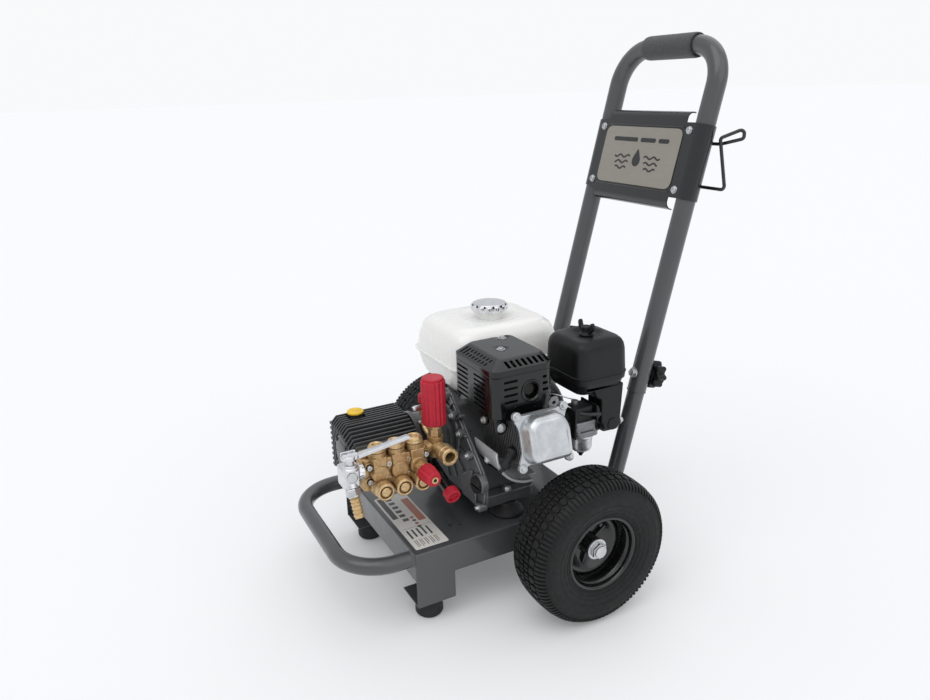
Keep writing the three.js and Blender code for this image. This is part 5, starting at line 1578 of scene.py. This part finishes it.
def make_unloader():
    """Unloader valve with the outlet coupler and the relief pipe behind it."""
    x, y, z = UNLOADER
    form = Form().bar((x, y, 264), (x, y, 302), 14, 2, 48)
    form.bar((x, y, 262), (x, y, 266), 10, 1, 6)
    form.bar((x, 65.3, z), (x, y, z), 12, 1.4, 40)
    coupler = [(0, -2), (12, -2), (12, 28), (13.4, 29.5), (15.5, 31), (15.5, 44), (14.6, 45), (14.6, 47),
               (15.5, 48.4), (15.5, 56), (14, 58), (10, 58), (9, 57), (9, 33), (0, 33)]
    form.use(1).lathe(eased(coupler, 0.6), UNLOADER, X, 64)
    form.bar((x, y, 300), (x, y, 317), 11.6, 1, 6)
    form.bar((x, y, 315), (x, y, 322.4), 12.4, 1, 40)
    form.bar((x, y, 316), (x, y, 353), 6, 0.8, 32)
    relief = smooth_line([(72, 84, 296), (58, 82, 302), (50, 82, 310), (49, 82, 330)], 8)
    form.pipe(relief, 5, 20)
    form.bar(RELIEF + Z * 326, RELIEF + Z * 344, 7, 0.8, 6)
    form.use(2).lathe(eased([(0, 62), (4.4, 62), (5.4, 66), (5.4, 80), (0, 80)], 1.6),
                      (49, 0, 342), Y, 24)
    form.use(3).bar(RELIEF + Z * 343, RELIEF + Z * 352, 4, 0.4, 24)
    form.lathe(eased([(0, 351), (7.6, 351), (8, 364), (6, 368), (0, 369)], 1.8), RELIEF, Z, 36)
    # dark disc inside the coupler's mouth: painted shade
    form.use(4).bar((x + 33, y, z), (x + 33.6, y, z), 8.9, 0.1, 40)
    piece("unloader_body", form, BRASS, TURNED_BRASS, ZINC, RED, SHADE_FILL)


def make_unloader_knob():
    """Tall fluted knob on the unloader."""
    x, y = UNLOADER.x, UNLOADER.y
    body = Form().knob(lobed(21, 1.7, 16, 10, 1.4), (x, y, 323), Z, 81, 3)
    body.lathe(eased([(0, 403), (17.6, 403), (19, 405.5), (17.4, 408), (0, 408.4)], 1.6),
               (x, y, 0), Z, 64)
    form = carve(body, Form().bar((x, y, 314), (x, y, 357), 6.6, 0.1, 32))
    piece("unloader_knob", form, RED, crease=50)


def make_injector_knob():
    """Fluted knob on the detergent injector, with its hose stem."""
    base = Vector((137, INJECTOR.y, INJECTOR.z))
    loops = []
    sections = ((0, -1.6), (1, -0.2), (2.4, 0.4), (9, 0.5), (12, -0.2), (30, -1.9), (34, -3), (36, -5.4))
    for reach, grow in sections:
        ring = lobed(15.5 + grow, 1.4, 12, 10, 1.3)
        loops.append([(base.x + reach, base.y + p.x, base.z + p.y) for p in ring])
    body = Form().skin(loops)
    form = carve(body, Form().bar((128, base.y, base.z), (153, base.y, base.z), 5.8, 0.1, 32))
    form.use(1).ring([(3, 172.4), (5.6, 172.4), (5.6, 174.4), (3, 174.4)], (0, base.y, base.z), X, 32)
    # dark disc inside the hose stem: painted shade
    form.use(2).bar((172, base.y, base.z), (173.4, base.y, base.z), 3.1, 0.1, 24)
    piece("injector_knob", form, RED, TURNED_BRASS, SHADE_FILL, crease=50)


def make_pump_oil_cap():
    """Yellow cap on a black base."""
    form = Form().bar(OIL_FILLER, OIL_FILLER + Z * 2.6, 15, 0.8, 48)
    form.use(1).knob(lobed(14.8, 0.6, 24, 6, 1), OIL_FILLER + Z * 2.3, Z, 4.2, 1.3)
    form.use(0).bar(OIL_FILLER - Z * 12, OIL_FILLER + Z, 7, 0.6, 32)
    piece("pump_oil_cap", form, BLACK_PLASTIC, YELLOW)


def make_drain():
    """Oil drain tube and its red cap."""
    start = Vector((68, 84, 243.6))
    axis = Vector((0.951, 0, -0.309)).normalized()
    form = Form().lathe([(0, 0), (10.5, 0), (10.5, 68), (10.2, 84), (9.4, 85), (0, 85)], start, axis, 48)
    piece("drain_tube", form, BLACK_GLOSS)
    end = start + axis * 84
    cap = [(11.5, -9), (13.2, -9), (13.5, -8), (13.5, 4.8), (12.4, 6), (9.6, 6), (9, 5), (8.8, 2.2),
           (0, 2), (0, 1.3), (11.5, 1.3)]
    form = Form().lathe(cap, end, axis, 56)
    for degrees in (0, 90):
        turn = Matrix.Rotation(math.radians(degrees + 20), 4, "Z")
        form.place = Matrix.Translation(end) @ basis(Vector(), axis) @ turn
        form.box((-8.6, -1, 1.6), (8.6, 1, 3.6), 0.5)
    form.place = Matrix.Identity(4)
    piece("drain_cap", form, RED)


INLET_TURRET = Vector((120.5, -80, 0))
NIPPLE_SEAT = Vector((122.84, -80, 262.72))
NIPPLE_AXIS = Vector((0.535, 0, -0.845)).normalized()


def make_inlet_valve():
    """Inlet ball valve body with its turret."""
    form = Form().box((94, -95, 266), (126, -65, 299.4), 2.6, 5)
    form.box((97, -92, 262.6), (121, -68, 267), 2, 4)
    form.bar((110, -80, 283), (110, -55.3, 283), 12, 1.4, 40)
    form.bar((110, -69, 283), (110, -59, 283), 13.4, 1.2, 6)
    turret = [(0, 297), (13.6, 297), (13.6, 300.6), (11.6, 302), (11.4, 305.4), (9.6, 306.6), (6.4, 307),
              (6, 313.8), (0, 313.8)]
    form.lathe(eased(turret, 0.8), INLET_TURRET, Z, 48)
    form.bar(NIPPLE_SEAT - NIPPLE_AXIS * 16, NIPPLE_SEAT, 10, 1, 36)
    form.use(1).lathe(eased([(0, 126), (8.6, 126), (9.4, 127.6), (7, 128.6), (0, 128.8)], 0.8),
                      (0, -80, 284), X, 36)
    piece("inlet_valve_block", form, NICKEL, ZINC)


def make_hose_nipple():
    """Hexagon fitting with a barbed tail."""
    base, axis = NIPPLE_SEAT + NIPPLE_AXIS * 0.3, NIPPLE_AXIS
    form = Form().bar(base, base + axis * 11, 12.6, 1.8, 6)
    form.bar(base + axis * 9, base + axis * 14, 9.6, 1.6, 36)
    profile = [(0, 10), (7.5, 10), (7.5, 15)]
    for i in range(5):
        profile += [(7.3, 15.2 + 6 * i), (9, 17 + 6 * i), (7.3, 20.8 + 6 * i)]
    profile += [(7, 47), (4.6, 47), (4.4, 40), (0, 40)]
    form.use(1).lathe(profile, base, axis, 40)
    piece("hose_nipple", form, ZINC, TURNED_BRASS)


def make_inlet_lever():
    """Channel-shaped lever on the inlet valve."""
    lean = [(-74, 314.3), (-66, 314.3), (22, 327), (24, 329), (24, 331), (20, 332.3), (-66, 320.4),
            (-74, 320.4)]
    rail = Form().prism(rounded(lean, 1.6), "x", 114.8, 126.2, 0.8)
    groove = [(-58, 319.6), (21, 330.4), (21, 340), (-58, 340)]
    form = carve(rail, Form().prism(groove, "x", 117.4, 123.6, 0.3))
    form.lathe(eased([(0, 314.3), (10.4, 314.3), (10.4, 321), (9.4, 322), (0, 322)], 0.9),
               INLET_TURRET, Z, 40)
    form.box((112, -94, 315), (129, -66, 321.4), 1.6, 5)
    for x in (113.4, 124.6):
        form.box((x, -93, 321), (x + 3, -68, 326.6), 1, 1.4)
    form.bolt(INLET_TURRET + Z * 321, Z, 4.6, 3.4)
    piece("inlet_lever", form, NICKEL)


make_pump_crankcase()
make_pump_flange()
make_pump_manifold()
make_valve_plugs()
make_unloader()
make_unloader_knob()
make_injector_knob()
make_pump_oil_cap()
make_drain()
make_inlet_valve()
make_hose_nipple()
make_inlet_lever()


# ---- carried-over nodes and the end ---------------------------------------------------------

for node, material in (("crankshaft", ZINC), ("exhaust_muffler", HOT_STEEL)):
    slots = frame["nodes"][node].data.materials
    slots.clear()
    slots.append(material)
